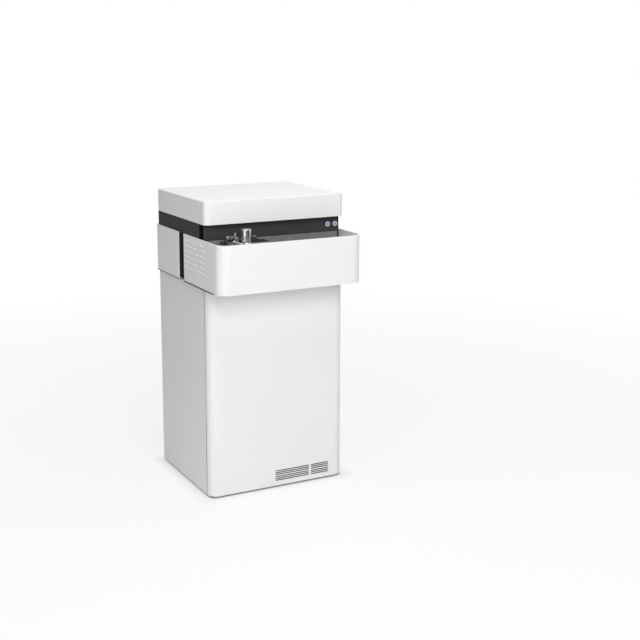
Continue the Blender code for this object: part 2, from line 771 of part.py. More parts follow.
def make_channel_strip(side, parts):
    """Dark stepped profile in the gap between the collar's front and rear walls."""
    name = "channel_strip_left" if side < 0 else "channel_strip_right"
    front = HOOD_FRONT + CHANNEL_SETBACK
    rear = front + CHANNEL_WIDTH
    step = rear - CHANNEL_WIDTH * STRIP_DARK_SHARE
    behind = COLLAR_WALL + SEAT_GAP
    back = STRIP_STEP_DEPTH + STRIP_BACK
    section = [
        (behind, front - STRIP_LAP),
        (behind, front + SEAT_GAP),
        (STRIP_FACE_DEPTH, front + SEAT_GAP),
        (STRIP_FACE_DEPTH, step),
        (STRIP_STEP_DEPTH, step),
        (STRIP_STEP_DEPTH, rear - SEAT_GAP),
        (behind, rear - SEAT_GAP),
        (behind, rear + STRIP_LAP),
        (back, rear + STRIP_LAP),
        (back, front - STRIP_LAP),
    ]
    outline = [(side * (COLLAR_WIDTH / 2 - depth), y) for depth, y in section]
    strip = slab(name, [outline], DECK_TOP + SEAT_GAP, RIM, parts)
    return dress(strip, BLACK_PLASTIC)


def make_upper_frame(parts, cutters):
    """Black sheet frame from the deck up to the hood, behind the fascia panels."""
    low, high = DECK_TOP + SEAT_GAP, HOOD_BOTTOM - SEAT_GAP
    outer = rectangle(-FRAME_HALF, FRAME_HALF, FRAME_FRONT, FRAME_REAR)
    inner = rectangle(
        -FRAME_HALF + FRAME_WALL,
        FRAME_HALF - FRAME_WALL,
        FRAME_FRONT + FRAME_WALL,
        FRAME_REAR - FRAME_WALL,
    )
    frame = slab("upper_frame", [outer, inner], low, high, parts)
    holes = [circle((x, button_height()), BEZEL_BODY_RADIUS + RUN_GAP) for x in button_places()]
    holes.append(circle((APERTURE[0], LIGHT_HEIGHT), TUBE_RADIUS + RUN_GAP))
    reach = (FRAME_FRONT - OVERRUN, FRAME_FRONT + FRAME_WALL + OVERRUN)
    cut(frame, slab("frame_holes", holes, *reach, cutters, "Y"))
    return dress(frame, BLACK_PLASTIC)


def button_places():
    """Each button's x, from the left."""
    last = FASCIA_END - BUTTON_FROM_END
    return [last - BUTTON_SPACING, last]


def button_height():
    """The buttons' middle height."""
    return HOOD_BOTTOM - BUTTON_DROP


def make_fascia(parts):
    """Dark panels on the front, the sides and the back of the frame."""
    low, high = FASCIA_BOTTOM, HOOD_BOTTOM - SEAT_GAP
    corner = HOOD_FRONT + FASCIA_CORNER_SETBACK
    edge = rectangle(-FASCIA_END, FASCIA_END, low, high)
    holes = [circle((x, button_height()), BEZEL_BODY_RADIUS + RUN_GAP) for x in button_places()]
    depth = (FASCIA_FRONT, FASCIA_FRONT + FASCIA_THICKNESS)
    front = slab("fascia_front", [edge] + holes, *depth, parts, "Y")
    pieces = [front]
    for name, side in (("fascia_left", -1), ("fascia_right", 1)):
        faces = sorted((side * FASCIA_HALF, side * (FASCIA_HALF - FASCIA_THICKNESS)))
        pieces.append(blocks(name, [((faces[0], corner, low), (faces[1], FASCIA_REAR, high))], parts))
    half = FASCIA_HALF - FASCIA_THICKNESS - SEAT_GAP
    box = ((-half, FASCIA_REAR - FASCIA_THICKNESS, low), (half, FASCIA_REAR, high))
    pieces.append(blocks("fascia_rear", [box], parts))
    for piece in pieces:
        dress(round_edges(piece, FASCIA_EDGE, 1), DARK_PANEL)
    return pieces


def make_bezel(name, x, parts):
    """Light ring round a button, with its switch body behind the panel."""
    proud, chamfer = BEZEL_PROUD, BEZEL_CHAMFER
    bore = BUTTON_RADIUS + RUN_GAP
    floor = -(BUTTON_LENGTH - BUTTON_PROUD - BEZEL_PROUD) - BUTTON_TRAVEL - SEAT_GAP
    profile = [
        (0, floor),
        (bore, floor),
        (bore, proud),
        (BEZEL_RADIUS - chamfer, proud),
        (BEZEL_RADIUS, proud - chamfer),
        (BEZEL_RADIUS, SEAT_GAP),
        (BEZEL_BODY_RADIUS, SEAT_GAP),
        (BEZEL_BODY_RADIUS, -BEZEL_BODY_LENGTH),
        (0, -BEZEL_BODY_LENGTH),
    ]
    place = (x, FASCIA_FRONT, button_height())
    bezel = turned(name, profile, ROUND_STEPS, parts, place, "-Y")
    return dress(bezel, LAVENDER_RING)


def make_button(name, x, parts):
    """Round cap with a dished face, which slides in its bezel."""
    face = BEZEL_PROUD + BUTTON_PROUD
    profile = [
        (0, face - BUTTON_DISH),
        (BUTTON_RADIUS / 2, face - BUTTON_DISH / 2),
        (BUTTON_RADIUS - BUTTON_DISH, face),
        (BUTTON_RADIUS, face - BUTTON_DISH),
        (BUTTON_RADIUS, face - BUTTON_LENGTH),
        (0, face - BUTTON_LENGTH),
    ]
    place = (x, FASCIA_FRONT, button_height())
    button = turned(name, profile, ROUND_STEPS, parts, place, "-Y")
    return dress(button, BUTTON_WHITE)


def vent_boxes():
    """The louvre slots low on the front panel, as boxes that pass through it."""
    near = CABINET_FRONT - OVERRUN
    far = CABINET_FRONT + PANEL_WALL + OVERRUN
    short_start = VENT_RIGHT_EDGE - VENT_SHORT_LENGTH
    wide_start = short_start - VENT_GROUP_GAP - VENT_WIDE_LENGTH
    groups = [
        (wide_start, VENT_WIDE_LENGTH, VENT_WIDE_COUNT),
        (short_start, VENT_SHORT_LENGTH, VENT_SHORT_COUNT),
    ]
    line = VENT_SLOT_HEIGHT + VENT_LAND
    band = VENT_ROWS * line - VENT_LAND + VENT_BAND_LAND
    boxes = []
    for start, length, count in groups:
        slot = (length - (count - 1) * VENT_WEB) / count
        for row in range(VENT_ROWS * VENT_BANDS):
            z = VENT_LOWEST + (row // VENT_ROWS) * band + (row % VENT_ROWS) * line
            for index in range(count):
                x = start + index * (slot + VENT_WEB)
                boxes.append(((x, near, z), (x + slot, far, z + VENT_SLOT_HEIGHT)))
    return boxes


def make_front_panel(parts, cutters):
    """White sheet front, bent round both vertical corners, with louvre slots low down."""
    outline = wrap_outline(CABINET_WIDTH / 2, CABINET_FRONT, SEAM_START, CABINET_CORNER, PANEL_WALL)
    panel = slab("front_panel", [outline], PANEL_BOTTOM, PANEL_TOP, parts)
    cut(panel, blocks("vent_slots", vent_boxes(), cutters))
    return smooth(dress(panel, WHITE_PAINT))


def make_side_panel(side, parts):
    """White sheet side, set off from the front panel by a shadow gap."""
    name = "side_panel_left" if side < 0 else "side_panel_right"
    faces = sorted((side * CABINET_WIDTH / 2, side * (CABINET_WIDTH / 2 - PANEL_WALL)))
    box = ((faces[0], SEAM_END, PANEL_BOTTOM), (faces[1], CABINET_REAR, PANEL_TOP))
    return dress(blocks(name, [box], parts), WHITE_PAINT)


def grille_outlines(centre):
    """Level slots that fill a circle, each as long as its chord."""
    outlines = []
    pitch = GRILLE_SLOT + GRILLE_BAR
    for row in range(GRILLE_ROWS):
        z = (row - (GRILLE_ROWS - 1) / 2) * pitch
        reach = math.sqrt((FAN_BORE - GRILLE_BAR) ** 2 - z**2)
        for side in (-1, 1):
            xs = sorted((side * GRILLE_BAR / 2, side * reach))
            low, high = centre[1] + z - GRILLE_SLOT / 2, centre[1] + z + GRILLE_SLOT / 2
            outlines.append(rectangle(centre[0] + xs[0], centre[0] + xs[1], low, high))
    return outlines


def inlet_place():
    """The middle of the mains inlet on the rear panel, as x and z."""
    return (-CABINET_WIDTH / 2 + INLET_FROM_LEFT, PANEL_BOTTOM + INLET_RISE)


def fitting_place():
    """The middle of the argon fitting on the rear panel, as x and z."""
    return (CABINET_WIDTH / 2 - FITTING_FROM_RIGHT, PANEL_BOTTOM + FITTING_RISE)


def make_rear_panel(parts):
    """White sheet back, set in between the sides, with the fan grille and the two inlets' holes."""
    edge = rectangle(-INNER_HALF, INNER_HALF, PANEL_BOTTOM, PANEL_TOP)
    x, z = inlet_place()
    half_width = INLET_WIDTH / 2 - INLET_BODY_MARGIN + SEAT_GAP
    half_height = INLET_HEIGHT / 2 - INLET_BODY_MARGIN + SEAT_GAP
    holes = [rectangle(x - half_width, x + half_width, z - half_height, z + half_height)]
    holes.append(circle(fitting_place(), FITTING_STEM + SEAT_GAP, SMALL_STEPS))
    holes += grille_outlines((0, FAN_HEIGHT))
    panel = slab("rear_panel", [edge] + holes, REAR_PANEL_FRONT, REAR_PANEL_BACK, parts, "Y")
    return dress(panel, WHITE_PAINT)


def foot_places():
    """The four feet, as x and y."""
    x = INNER_HALF - FOOT_INSET
    return {
        "front_left": (-x, INNER_FRONT + FOOT_INSET),
        "front_right": (x, INNER_FRONT + FOOT_INSET),
        "rear_left": (-x, INNER_REAR - FOOT_INSET),
        "rear_right": (x, INNER_REAR - FOOT_INSET),
    }


def make_foot(name, place, parts):
    """Levelling foot: pad, lock nut and stud."""
    nut_top = FOOT_HEIGHT - SEAT_GAP
    profile = [
        (0, FOOT_HEIGHT + FOOT_STUD_RISE),
        (FOOT_STUD_RADIUS, FOOT_HEIGHT + FOOT_STUD_RISE),
        (FOOT_STUD_RADIUS, nut_top),
        (FOOT_NUT_RADIUS, nut_top),
        (FOOT_NUT_RADIUS, FOOT_PAD_HEIGHT),
        (FOOT_PAD_RADIUS - FOOT_PAD_CHAMFER, FOOT_PAD_HEIGHT),
        (FOOT_PAD_RADIUS, FOOT_PAD_HEIGHT - FOOT_PAD_CHAMFER),
        (FOOT_PAD_RADIUS, 0),
        (0, 0),
    ]
    foot = turned("foot_" + name, profile, SMALL_STEPS, parts, (*place, 0))
    return dress(foot, RUBBER)


def make_base_tray(parts, cutters):
    """Folded sheet tray that carries the uprights, with a hole for each foot's stud."""
    edge = rounded_rectangle(-INNER_HALF, INNER_HALF, INNER_FRONT, INNER_REAR, INNER_CORNER, 0)
    holes = [circle(place, FOOT_STUD_RADIUS + SEAT_GAP, SMALL_STEPS) for place in foot_places().values()]
    top = FOOT_HEIGHT + TRAY_FLANGE
    tray = slab("base_tray", [edge] + holes, FOOT_HEIGHT, top, parts)
    hollow = rounded_rectangle(
        -INNER_HALF + TRAY_WALL,
        INNER_HALF - TRAY_WALL,
        INNER_FRONT + TRAY_WALL,
        INNER_REAR - TRAY_WALL,
        INNER_CORNER - TRAY_WALL,
        0,
    )
    cut(tray, slab("tray_hollow", [hollow], TRAY_FLOOR_TOP, top + OVERRUN, cutters))
    return dress(tray, ZINC_SHEET)


def make_upright(name, x_side, corner_y, y_way, parts):
    """Angle-section upright from the base tray to the deck."""
    corner_x = x_side * STRUT_HALF
    into_x = -x_side
    leg, wall = UPRIGHT_LEG, UPRIGHT_WALL
    section = [(0, 0), (leg, 0), (leg, wall), (wall, wall), (wall, leg), (0, leg)]
    outline = [(corner_x + into_x * u, corner_y + y_way * v) for u, v in section]
    low, high = TRAY_FLOOR_TOP + SEAT_GAP, COLLAR_UNDERSIDE - SEAT_GAP
    return dress(slab("upright_" + name, [outline], low, high, parts), BLACK_PLASTIC)


def make_shelf(parts, cutters):
    """Sheet shelf between the uprights, cut out round them, with a lip down the front and the back."""
    half, front, rear = STRUT_HALF, STRUT_FRONT, STRUT_REAR
    leg = UPRIGHT_LEG + SEAT_GAP
    under, top = SHELF_HEIGHT - SHELF_LIP, SHELF_HEIGHT + SHELF_THICKNESS
    shelf = blocks("shelf", [((-half, front, under), (half, rear, top))], parts)
    low, high = under - OVERRUN, top + OVERRUN
    corners = []
    for x0, x1 in ((-half - OVERRUN, leg - half), (half - leg, half + OVERRUN)):
        for y0, y1 in ((front - OVERRUN, front + leg), (rear - leg, rear + OVERRUN)):
            corners.append(((x0, y0, low), (x1, y1, high)))
    cut(shelf, blocks("shelf_corners", corners, cutters))
    reach = half + OVERRUN
    lip = SHELF_THICKNESS
    hollow = ((-reach, front + lip, low), (reach, rear - lip, SHELF_HEIGHT))
    cut(shelf, blocks("shelf_hollow", [hollow], cutters))
    return dress(shelf, ZINC_SHEET)


def make_deck_plate(parts):
    """Plate that closes the collar's underside and carries all that stands above it."""
    rear = REAR - COLLAR_WALL - SEAT_GAP
    rear_radius = COLLAR_REAR_CORNER - COLLAR_WALL - SEAT_GAP
    sizes = (-WELL_HALF, WELL_HALF, WELL_FRONT, rear, WELL_CORNER, rear_radius)
    edge = rounded_rectangle(*sizes, steps=CORNER_STEPS)
    middle = (FRAME_FRONT + FRAME_REAR) / 2
    half_width, half_depth = DECK_HOLE_WIDTH / 2, DECK_HOLE_DEPTH / 2
    hole = rectangle(-half_width, half_width, middle - half_depth, middle + half_depth)
    return dress(slab("deck_plate", [edge, hole], COLLAR_UNDERSIDE, DECK_TOP, parts), WHITE_PAINT)


def stand_box():
    """The spark stand block's footprint: low x, high x, low y, high y."""
    x0 = PLATE_X0 + STAND_SIDE_MARGIN
    y1 = PLATE_Y1 - STAND_MARGIN
    return (x0, x0 + STAND_WIDTH, y1 - STAND_DEPTH, y1)


def make_well_floor(parts):
    """Floor of the open well, cut out round the spark stand."""
    rear = FRAME_FRONT - SEAT_GAP
    sizes = (-WELL_HALF, WELL_HALF, WELL_FRONT, rear, WELL_CORNER, 0)
    edge = rounded_rectangle(*sizes, steps=CORNER_STEPS)
    x0, x1, y0, y1 = stand_box()
    hole = rectangle(x0 - SEAT_GAP, x1 + SEAT_GAP, y0 - SEAT_GAP, y1 + SEAT_GAP)
    low = WELL_FLOOR - WELL_FLOOR_THICKNESS
    return dress(slab("well_floor", [edge, hole], low, WELL_FLOOR, parts), GREY_PANEL)


def make_well_back(parts):
    """Grey back wall of the well, under the front fascia."""
    edge = rectangle(-FASCIA_END, FASCIA_END, WELL_FLOOR + SEAT_GAP, FASCIA_BOTTOM - SEAT_GAP)
    hole = circle((APERTURE[0], LIGHT_HEIGHT), TUBE_RADIUS + SEAT_GAP)
    depth = (WELL_BACK, WELL_BACK + WELL_BACK_THICKNESS)
    return dress(slab("well_back", [edge, hole], *depth, parts, "Y"), GREY_PANEL)


def make_stand_body(parts, cutters):
    """Block under the spark plate: spark chamber, electrode bore and light outlet."""
    x0, x1, y0, y1 = stand_box()
    bottom = STAND_TOP - STAND_DROP
    body = blocks("stand_body", [((x0, y0, bottom), (x1, y1, STAND_TOP))], parts)
    flange_low = WELL_FLOOR + SEAT_GAP
    flange = rounded_rectangle(
        x0 - STAND_FLANGE, x1 + STAND_FLANGE, y0 - STAND_FLANGE, y1 + STAND_FLANGE, STAND_FLANGE, STAND_FLANGE
    )
    join(body, slab("stand_flange", [flange], flange_low, flange_low + STAND_FLANGE_HEIGHT, cutters))
    bore_low = STAND_TOP - SPARK_BORE_DEPTH
    over = STAND_TOP + OVERRUN
    chamber = [(0, over), (SPARK_BORE_RADIUS, over), (SPARK_BORE_RADIUS, bore_low), (0, bore_low)]
    cut(body, turned("spark_bore", chamber, ROUND_STEPS, cutters, (*APERTURE, 0)))
    stem = INSULATOR_RADIUS + SEAT_GAP
    under = bottom - OVERRUN
    lower = [(0, bore_low + OVERRUN), (stem, bore_low + OVERRUN), (stem, under), (0, under)]
    cut(body, turned("insulator_bore", lower, ROUND_STEPS, cutters, (*APERTURE, 0)))
    reach = (APERTURE[1], y1 + OVERRUN)
    outlet = circle((APERTURE[0], LIGHT_HEIGHT), TUBE_BORE)
    cut(body, slab("light_outlet", [outlet], *reach, cutters, "Y"))
    return dress(body, ALUMINIUM)


def make_insulator(parts):
    """Ceramic bush that holds the electrode in the stand."""
    bottom = STAND_TOP - STAND_DROP
    shoulder = STAND_TOP - SPARK_BORE_DEPTH + SEAT_GAP
    top = shoulder + INSULATOR_RISE
    bore = ELECTRODE_RADIUS + SEAT_GAP
    profile = [
        (bore, top),
        (INSULATOR_COLLAR_RADIUS, top),
        (INSULATOR_COLLAR_RADIUS, shoulder),
        (INSULATOR_RADIUS, shoulder),
        (INSULATOR_RADIUS, bottom),
        (bore, bottom),
    ]
    bush = turned("electrode_insulator", profile, ROUND_STEPS, parts, (*APERTURE, 0), ring=True)
    return dress(bush, CERAMIC)


def make_electrode(parts):
    """Tungsten rod with a right-angled point under the aperture."""
    tip = PLATE_TOP - SPARK_GAP
    foot = tip - ELECTRODE_LENGTH
    profile = [(0, tip), (ELECTRODE_RADIUS, tip - ELECTRODE_RADIUS), (ELECTRODE_RADIUS, foot), (0, foot)]
    rod = turned("electrode", profile, SMALL_STEPS, parts, (*APERTURE, 0))
    return dress(rod, TUNGSTEN)


def make_spark_plate(parts, cutters):
    """Dark table plate with the round spark aperture, flared underneath."""
    edge = rounded_rectangle(PLATE_X0, PLATE_X1, PLATE_Y0, PLATE_Y1, PLATE_CORNER, PLATE_CORNER)
    plate = slab("spark_plate", [edge], PLATE_BOTTOM, PLATE_TOP, parts)
    round_edges(plate, PLATE_EDGE)
    over, under = PLATE_TOP + OVERRUN, PLATE_BOTTOM - OVERRUN
    throat = PLATE_TOP - APERTURE_LAND
    profile = [
        (0, over),
        (APERTURE_RADIUS, over),
        (APERTURE_RADIUS, throat),
        (APERTURE_FLARE, PLATE_BOTTOM),
        (APERTURE_FLARE, under),
        (0, under),
    ]
    cut(plate, turned("aperture_cut", profile, ROUND_STEPS, cutters, (*APERTURE, 0)))
    stem_low = PLATE_TOP - PLATE_KNOB_STEM_DROP - SEAT_GAP
    stem = PLATE_KNOB_STEM + RUN_GAP
    well = [(0, over), (stem, over), (stem, stem_low), (0, stem_low)]
    cut(plate, turned("knob_hole", well, SMALL_STEPS, cutters, (*plate_knob_place(), 0)))
    return dress(plate, NAVY_PLATE)


def plate_knob_place():
    """The plate knob's x and y."""
    return (PLATE_X1 - PLATE_KNOB_FROM_RIGHT, PLATE_Y1 - PLATE_KNOB_FROM_REAR)


def make_column(parts):
    """Chrome column that stands on the spark plate and carries the swing arm."""
    low, high = PLATE_TOP + SEAT_GAP, PLATE_TOP + COLUMN_HEIGHT
    profile = [
        (0, high),
        (COLUMN_RADIUS - COLUMN_CHAMFER, high),
        (COLUMN_RADIUS, high - COLUMN_CHAMFER),
        (COLUMN_RADIUS, low),
        (0, low),
    ]
    column = turned("clamp_column", profile, FINE_STEPS, parts, (*COLUMN, 0))
    return dress(column, CHROME)


def arm_way():
    """The unit vector from the column to the spark aperture, and the distance between them."""
    reach = Vector(APERTURE) - Vector(COLUMN)
    return reach.normalized(), reach.length


def bar_outline(start, end, half_width):
    """A straight bar between two points."""
    start, end = Vector(start), Vector(end)
    way = (end - start).normalized()
    across = Vector((-way.y, way.x)) * half_width
    outline = [tuple(start + across), tuple(start - across)]
    return outline + [tuple(end - across), tuple(end + across)]


def bridge_height():
    """How far the underside of the plunger's bridge is above the arm's underside."""
    return PLUNGER_TRAVEL + 2 * RUN_GAP + PLUNGER_PAD_HEIGHT


def make_clamp_arm(parts, cutters):
    """Foot ring round the column, and a web to the cup over the aperture, with its front handle."""
    low = PLATE_TOP + SEAT_GAP
    bore = COLUMN_RADIUS + RUN_GAP
    ring = [circle(COLUMN, HUB_RADIUS, FINE_STEPS), circle(COLUMN, bore, FINE_STEPS)]
    arm = slab("clamp_arm", ring, low, low + HUB_HEIGHT, parts)
    way, reach = arm_way()
    base, centre = Vector(COLUMN), Vector(APERTURE)
    seat = CUP_RADIUS - CUP_WALL / 2
    web = bar_outline(base + way * (bore + HUB_RADIUS) / 2, base + way * (reach - seat), WEB_WIDTH / 2)
    join(arm, slab("arm_web", [web], low, low + WEB_HEIGHT, cutters))
    cup_top = low + CUP_HEIGHT
    inside = CUP_RADIUS - CUP_WALL
    cup = [
        (inside, cup_top),
        (CUP_RADIUS - CUP_FLARE, cup_top),
        (CUP_RADIUS, cup_top - CUP_FLARE),
        (CUP_RADIUS, low),
        (inside, low),
    ]
    join(arm, turned("arm_cup", cup, FINE_STEPS, cutters, (*APERTURE, 0), ring=True))
    turn = math.radians(CUP_WINDOW_TURN)
    view_way = Vector((-math.sin(turn), -math.cos(turn)))
    window = bar_outline(centre, centre + view_way * (CUP_RADIUS + OVERRUN), CUP_WINDOW_WIDTH / 2)
    cut(arm, slab("cup_window", [window], low + CUP_WINDOW_SILL, cup_top + OVERRUN, cutters))
    handle = [
        (0, 0),
        (HANDLE_NECK_RADIUS, 0),
        (HANDLE_NECK_RADIUS, -HANDLE_NECK_LENGTH),
        (HANDLE_RADIUS, -HANDLE_NECK_LENGTH - HANDLE_TAPER),
        (HANDLE_RADIUS, HANDLE_ROUND - HANDLE_LENGTH),
        (HANDLE_TIP_RADIUS, -HANDLE_LENGTH),
        (0, -HANDLE_LENGTH),
    ]
    root = (APERTURE[0] - HANDLE_SHIFT, APERTURE[1] - seat, low + HANDLE_RISE)
    join(arm, turned("arm_handle", handle, SMALL_STEPS, cutters, root, "Y"))
    bridge = bar_outline(centre - way * seat, centre + way * seat, BRIDGE_WIDTH / 2)
    bridge_low = low + bridge_height()
    bridge_top = bridge_low + BRIDGE_THICKNESS
    join(arm, slab("arm_bridge", [bridge], bridge_low, bridge_top, cutters))
    for index, outline in enumerate(lug_outlines()):
        join(arm, slab(f"arm_lug_{index}", [outline], cup_top - CUP_FLARE, cup_top + LUG_HEIGHT, cutters))
    over, under = bridge_top + OVERRUN, bridge_low - OVERRUN
    guide_bore = PLUNGER_RADIUS + RUN_GAP
    hole = [(0, over), (guide_bore, over), (guide_bore, under), (0, under)]
    cut(arm, turned("bridge_bore", hole, SMALL_STEPS, cutters, (*APERTURE, 0)))
    move_origin(arm, (*COLUMN, 0))
    return dress(arm, CHROME)


def lug_centre():
    """Where the lever is hinged: on the cup's wall, to the right of the aperture."""
    way, _ = arm_way()
    across = Vector((way.y, -way.x))
    spot = Vector(APERTURE) + across * (CUP_RADIUS - CUP_WALL / 2)
    return spot, across


def lug_outlines():
    """The two ears that hold the lever, one on each side of it."""
    spot, across = lug_centre()
    along = Vector((-across.y, across.x))
    outlines = []
    for side in (-1, 1):
        near = side * LUG_GAP / 2
        far = side * (LUG_GAP / 2 + LUG_WIDTH)
        corners = [(near, -1), (far, -1), (far, 1), (near, 1)]
        outline = [tuple(spot + along * u + across * v * LUG_DEPTH / 2) for u, v in corners]
        outlines.append(outline)
    return outlines


def lever_pivot():
    """The lever's pivot point."""
    spot, _ = lug_centre()
    height = PLATE_TOP + SEAT_GAP + CUP_HEIGHT + LUG_HEIGHT / 2
    return Vector((spot.x, spot.y, height))


def make_clamp_lever(parts, cutters):
    """Upright pin with a ball end, on a cross pin between the ears."""
    pivot = lever_pivot()
    _, across = lug_centre()
    turn = math.atan2(across.y, across.x)
    top = LEVER_LENGTH
    profile = [(0, top)]
    for index in range(1, LEVER_BALL_STEPS):
        angle = math.radians(FULL_TURN / 2) * index / LEVER_BALL_STEPS
        radius = LEVER_BALL_RADIUS * math.sin(angle)
        if radius < LEVER_RADIUS and 2 * index > LEVER_BALL_STEPS:
            break
        profile.append((radius, top - LEVER_BALL_RADIUS * (1 - math.cos(angle))))
    stem = [(LEVER_RADIUS, top - 2 * LEVER_BALL_RADIUS), (LEVER_RADIUS, -LEVER_RADIUS)]
    profile += stem + [(0, -LEVER_RADIUS)]
    lever = turned("clamp_lever", profile, SMALL_STEPS, parts, pivot)
    half = LUG_GAP / 2 - RUN_GAP
    barrel = [(0, half), (BARREL_RADIUS, half), (BARREL_RADIUS, -half), (0, -half)]
    cross = turned("lever_barrel", barrel, SMALL_STEPS, cutters, pivot, "Y")
    cross.rotation_euler.z = turn
    join(lever, cross)
    return dress(lever, CHROME)


def make_plunger(parts):
    """Sprung plunger with a round knob above the bridge and a pad over the aperture."""
    bridge_low = PLATE_TOP + SEAT_GAP + bridge_height()
    pad_high = bridge_low - RUN_GAP
    pad_low = pad_high - PLUNGER_PAD_HEIGHT
    knob_low = bridge_low + BRIDGE_THICKNESS + PLUNGER_TRAVEL + RUN_GAP
    knob_high = knob_low + KNOB_HEIGHT
    profile = [(0, knob_high)]
    centre = KNOB_RADIUS - KNOB_ROUND
    quarter = FULL_TURN / 4
    profile += arc((centre, knob_high - KNOB_ROUND), KNOB_ROUND, quarter, 0, KNOB_ROUND_STEPS)
    profile += [
        (KNOB_RADIUS, knob_low + KNOB_ROUND / 2),
        (KNOB_RADIUS - KNOB_ROUND / 2, knob_low),
        (PLUNGER_RADIUS, knob_low),
        (PLUNGER_RADIUS, pad_high),
        (PLUNGER_PAD_RADIUS, pad_high),
        (PLUNGER_PAD_RADIUS, pad_low),
        (0, pad_low),
    ]
    plunger = turned("clamp_plunger", profile, ROUND_STEPS, parts, (*APERTURE, 0))
    return dress(plunger, BROWN_KNOB)


def make_plate_knob(parts, cutters):
    """Bright thumb screw that holds the spark plate down: a ribbed head on a stem in the plate's hole."""
    x, y = plate_knob_place()
    low = PLATE_TOP + SEAT_GAP
    rim = []
    for index in range(2 * PLATE_KNOB_RIBS):
        radius = PLATE_KNOB_RADIUS - (index % 2) * PLATE_KNOB_RIB_DEPTH
        angle = math.radians(FULL_TURN) * index / (2 * PLATE_KNOB_RIBS)
        rim.append((x + radius * math.cos(angle), y + radius * math.sin(angle)))
    knob = slab("plate_knob", [rim], low, low + PLATE_KNOB_HEIGHT, parts)
    top, foot = low + PLATE_KNOB_HEIGHT / 2, PLATE_TOP - PLATE_KNOB_STEM_DROP
    stem = [(0, top), (PLATE_KNOB_STEM, top), (PLATE_KNOB_STEM, foot), (0, foot)]
    join(knob, turned("knob_stem", stem, SMALL_STEPS, cutters, (x, y, 0)))
    move_origin(knob, (x, y, 0))
    return dress(knob, CHROME)


def chamber_feet():
    """The optical chamber's four support posts, as x and y."""
    x = CHAMBER_WIDTH / 2 - CHAMBER_FOOT_INSET
    front, rear = CHAMBER_FRONT + CHAMBER_FOOT_INSET, CHAMBER_REAR - CHAMBER_FOOT_INSET
    return [(-x, front), (x, front), (x, rear), (-x, rear)]


def make_chamber(parts, cutters):
    """Cast optical chamber, open at the top, on four posts, with the light port at the front."""
    half = CHAMBER_WIDTH / 2
    edge = rounded_rectangle(-half, half, CHAMBER_FRONT, CHAMBER_REAR, CHAMBER_CORNER, CHAMBER_CORNER)
    chamber = slab("optical_chamber", [edge], CHAMBER_BOTTOM, CHAMBER_TOP, parts)
    for index, place in enumerate(chamber_feet()):
        top, foot = CHAMBER_FLOOR - CHAMBER_WALL / 2, DECK_TOP + SEAT_GAP
        post = [(0, top), (CHAMBER_FOOT_RADIUS, top), (CHAMBER_FOOT_RADIUS, foot), (0, foot)]
        join(chamber, turned(f"chamber_post_{index}", post, SMALL_STEPS, cutters, (*place, 0)))
    wall = CHAMBER_WALL
    radius = CHAMBER_CORNER - wall
    hollow = rounded_rectangle(
        -half + wall, half - wall, CHAMBER_FRONT + wall, CHAMBER_REAR - wall, radius, radius
    )
    cut(chamber, slab("chamber_hollow", [hollow], CHAMBER_FLOOR, CHAMBER_TOP + OVERRUN, cutters))
    port = circle((APERTURE[0], LIGHT_HEIGHT), TUBE_RADIUS + SEAT_GAP, SMALL_STEPS)
    reach = (CHAMBER_FRONT - OVERRUN, CHAMBER_FRONT + wall + OVERRUN)
    cut(chamber, slab("light_port", [port], *reach, cutters, "Y"))
    return dress(chamber, CAST_GREY)


def make_chamber_lid(parts):
    """Flat lid over the optical chamber."""
    half = CHAMBER_WIDTH / 2 + LID_LAP
    radius = CHAMBER_CORNER + LID_LAP
    edge = rounded_rectangle(
        -half, half, CHAMBER_FRONT - LID_LAP, CHAMBER_REAR + LID_LAP, radius, radius
    )
    low = CHAMBER_TOP + SEAT_GAP
    return dress(slab("chamber_lid", [edge], low, low + LID_THICKNESS, parts), ALUMINIUM)


def make_light_tube(parts):
    """Tube that carries the light from the spark stand into the chamber."""
    _, _, _, stand_rear = stand_box()
    near, far = stand_rear + SEAT_GAP, CHAMBER_FRONT + CHAMBER_WALL
    length = far - near
    profile = [(TUBE_BORE, length), (TUBE_RADIUS, length), (TUBE_RADIUS, 0), (TUBE_BORE, 0)]
    place = (APERTURE[0], near, LIGHT_HEIGHT)
    tube = turned("light_tube", profile, SMALL_STEPS, parts, place, "Y", ring=True)
    return dress(tube, BLACK_PLASTIC)


def make_slit_block(parts, cutters):
    """Block with the entrance slit, behind the light port."""
    front = CHAMBER_FRONT + CHAMBER_WALL + SEAT_GAP
    x = APERTURE[0]
    low = CHAMBER_FLOOR + SEAT_GAP
    high = LIGHT_HEIGHT + SLIT_HEIGHT / 2
    box = ((x - SLIT_WIDTH / 2, front, low), (x + SLIT_WIDTH / 2, front + SLIT_DEPTH, high))
    slit = blocks("slit_block", [box], parts)
    hole = circle((x, LIGHT_HEIGHT), SLIT_HOLE, SMALL_STEPS)
    reach = (front - OVERRUN, front + SLIT_DEPTH + OVERRUN)
    cut(slit, slab("slit_hole", [hole], *reach, cutters, "Y"))
    return dress(slit, BLACK_PLASTIC)


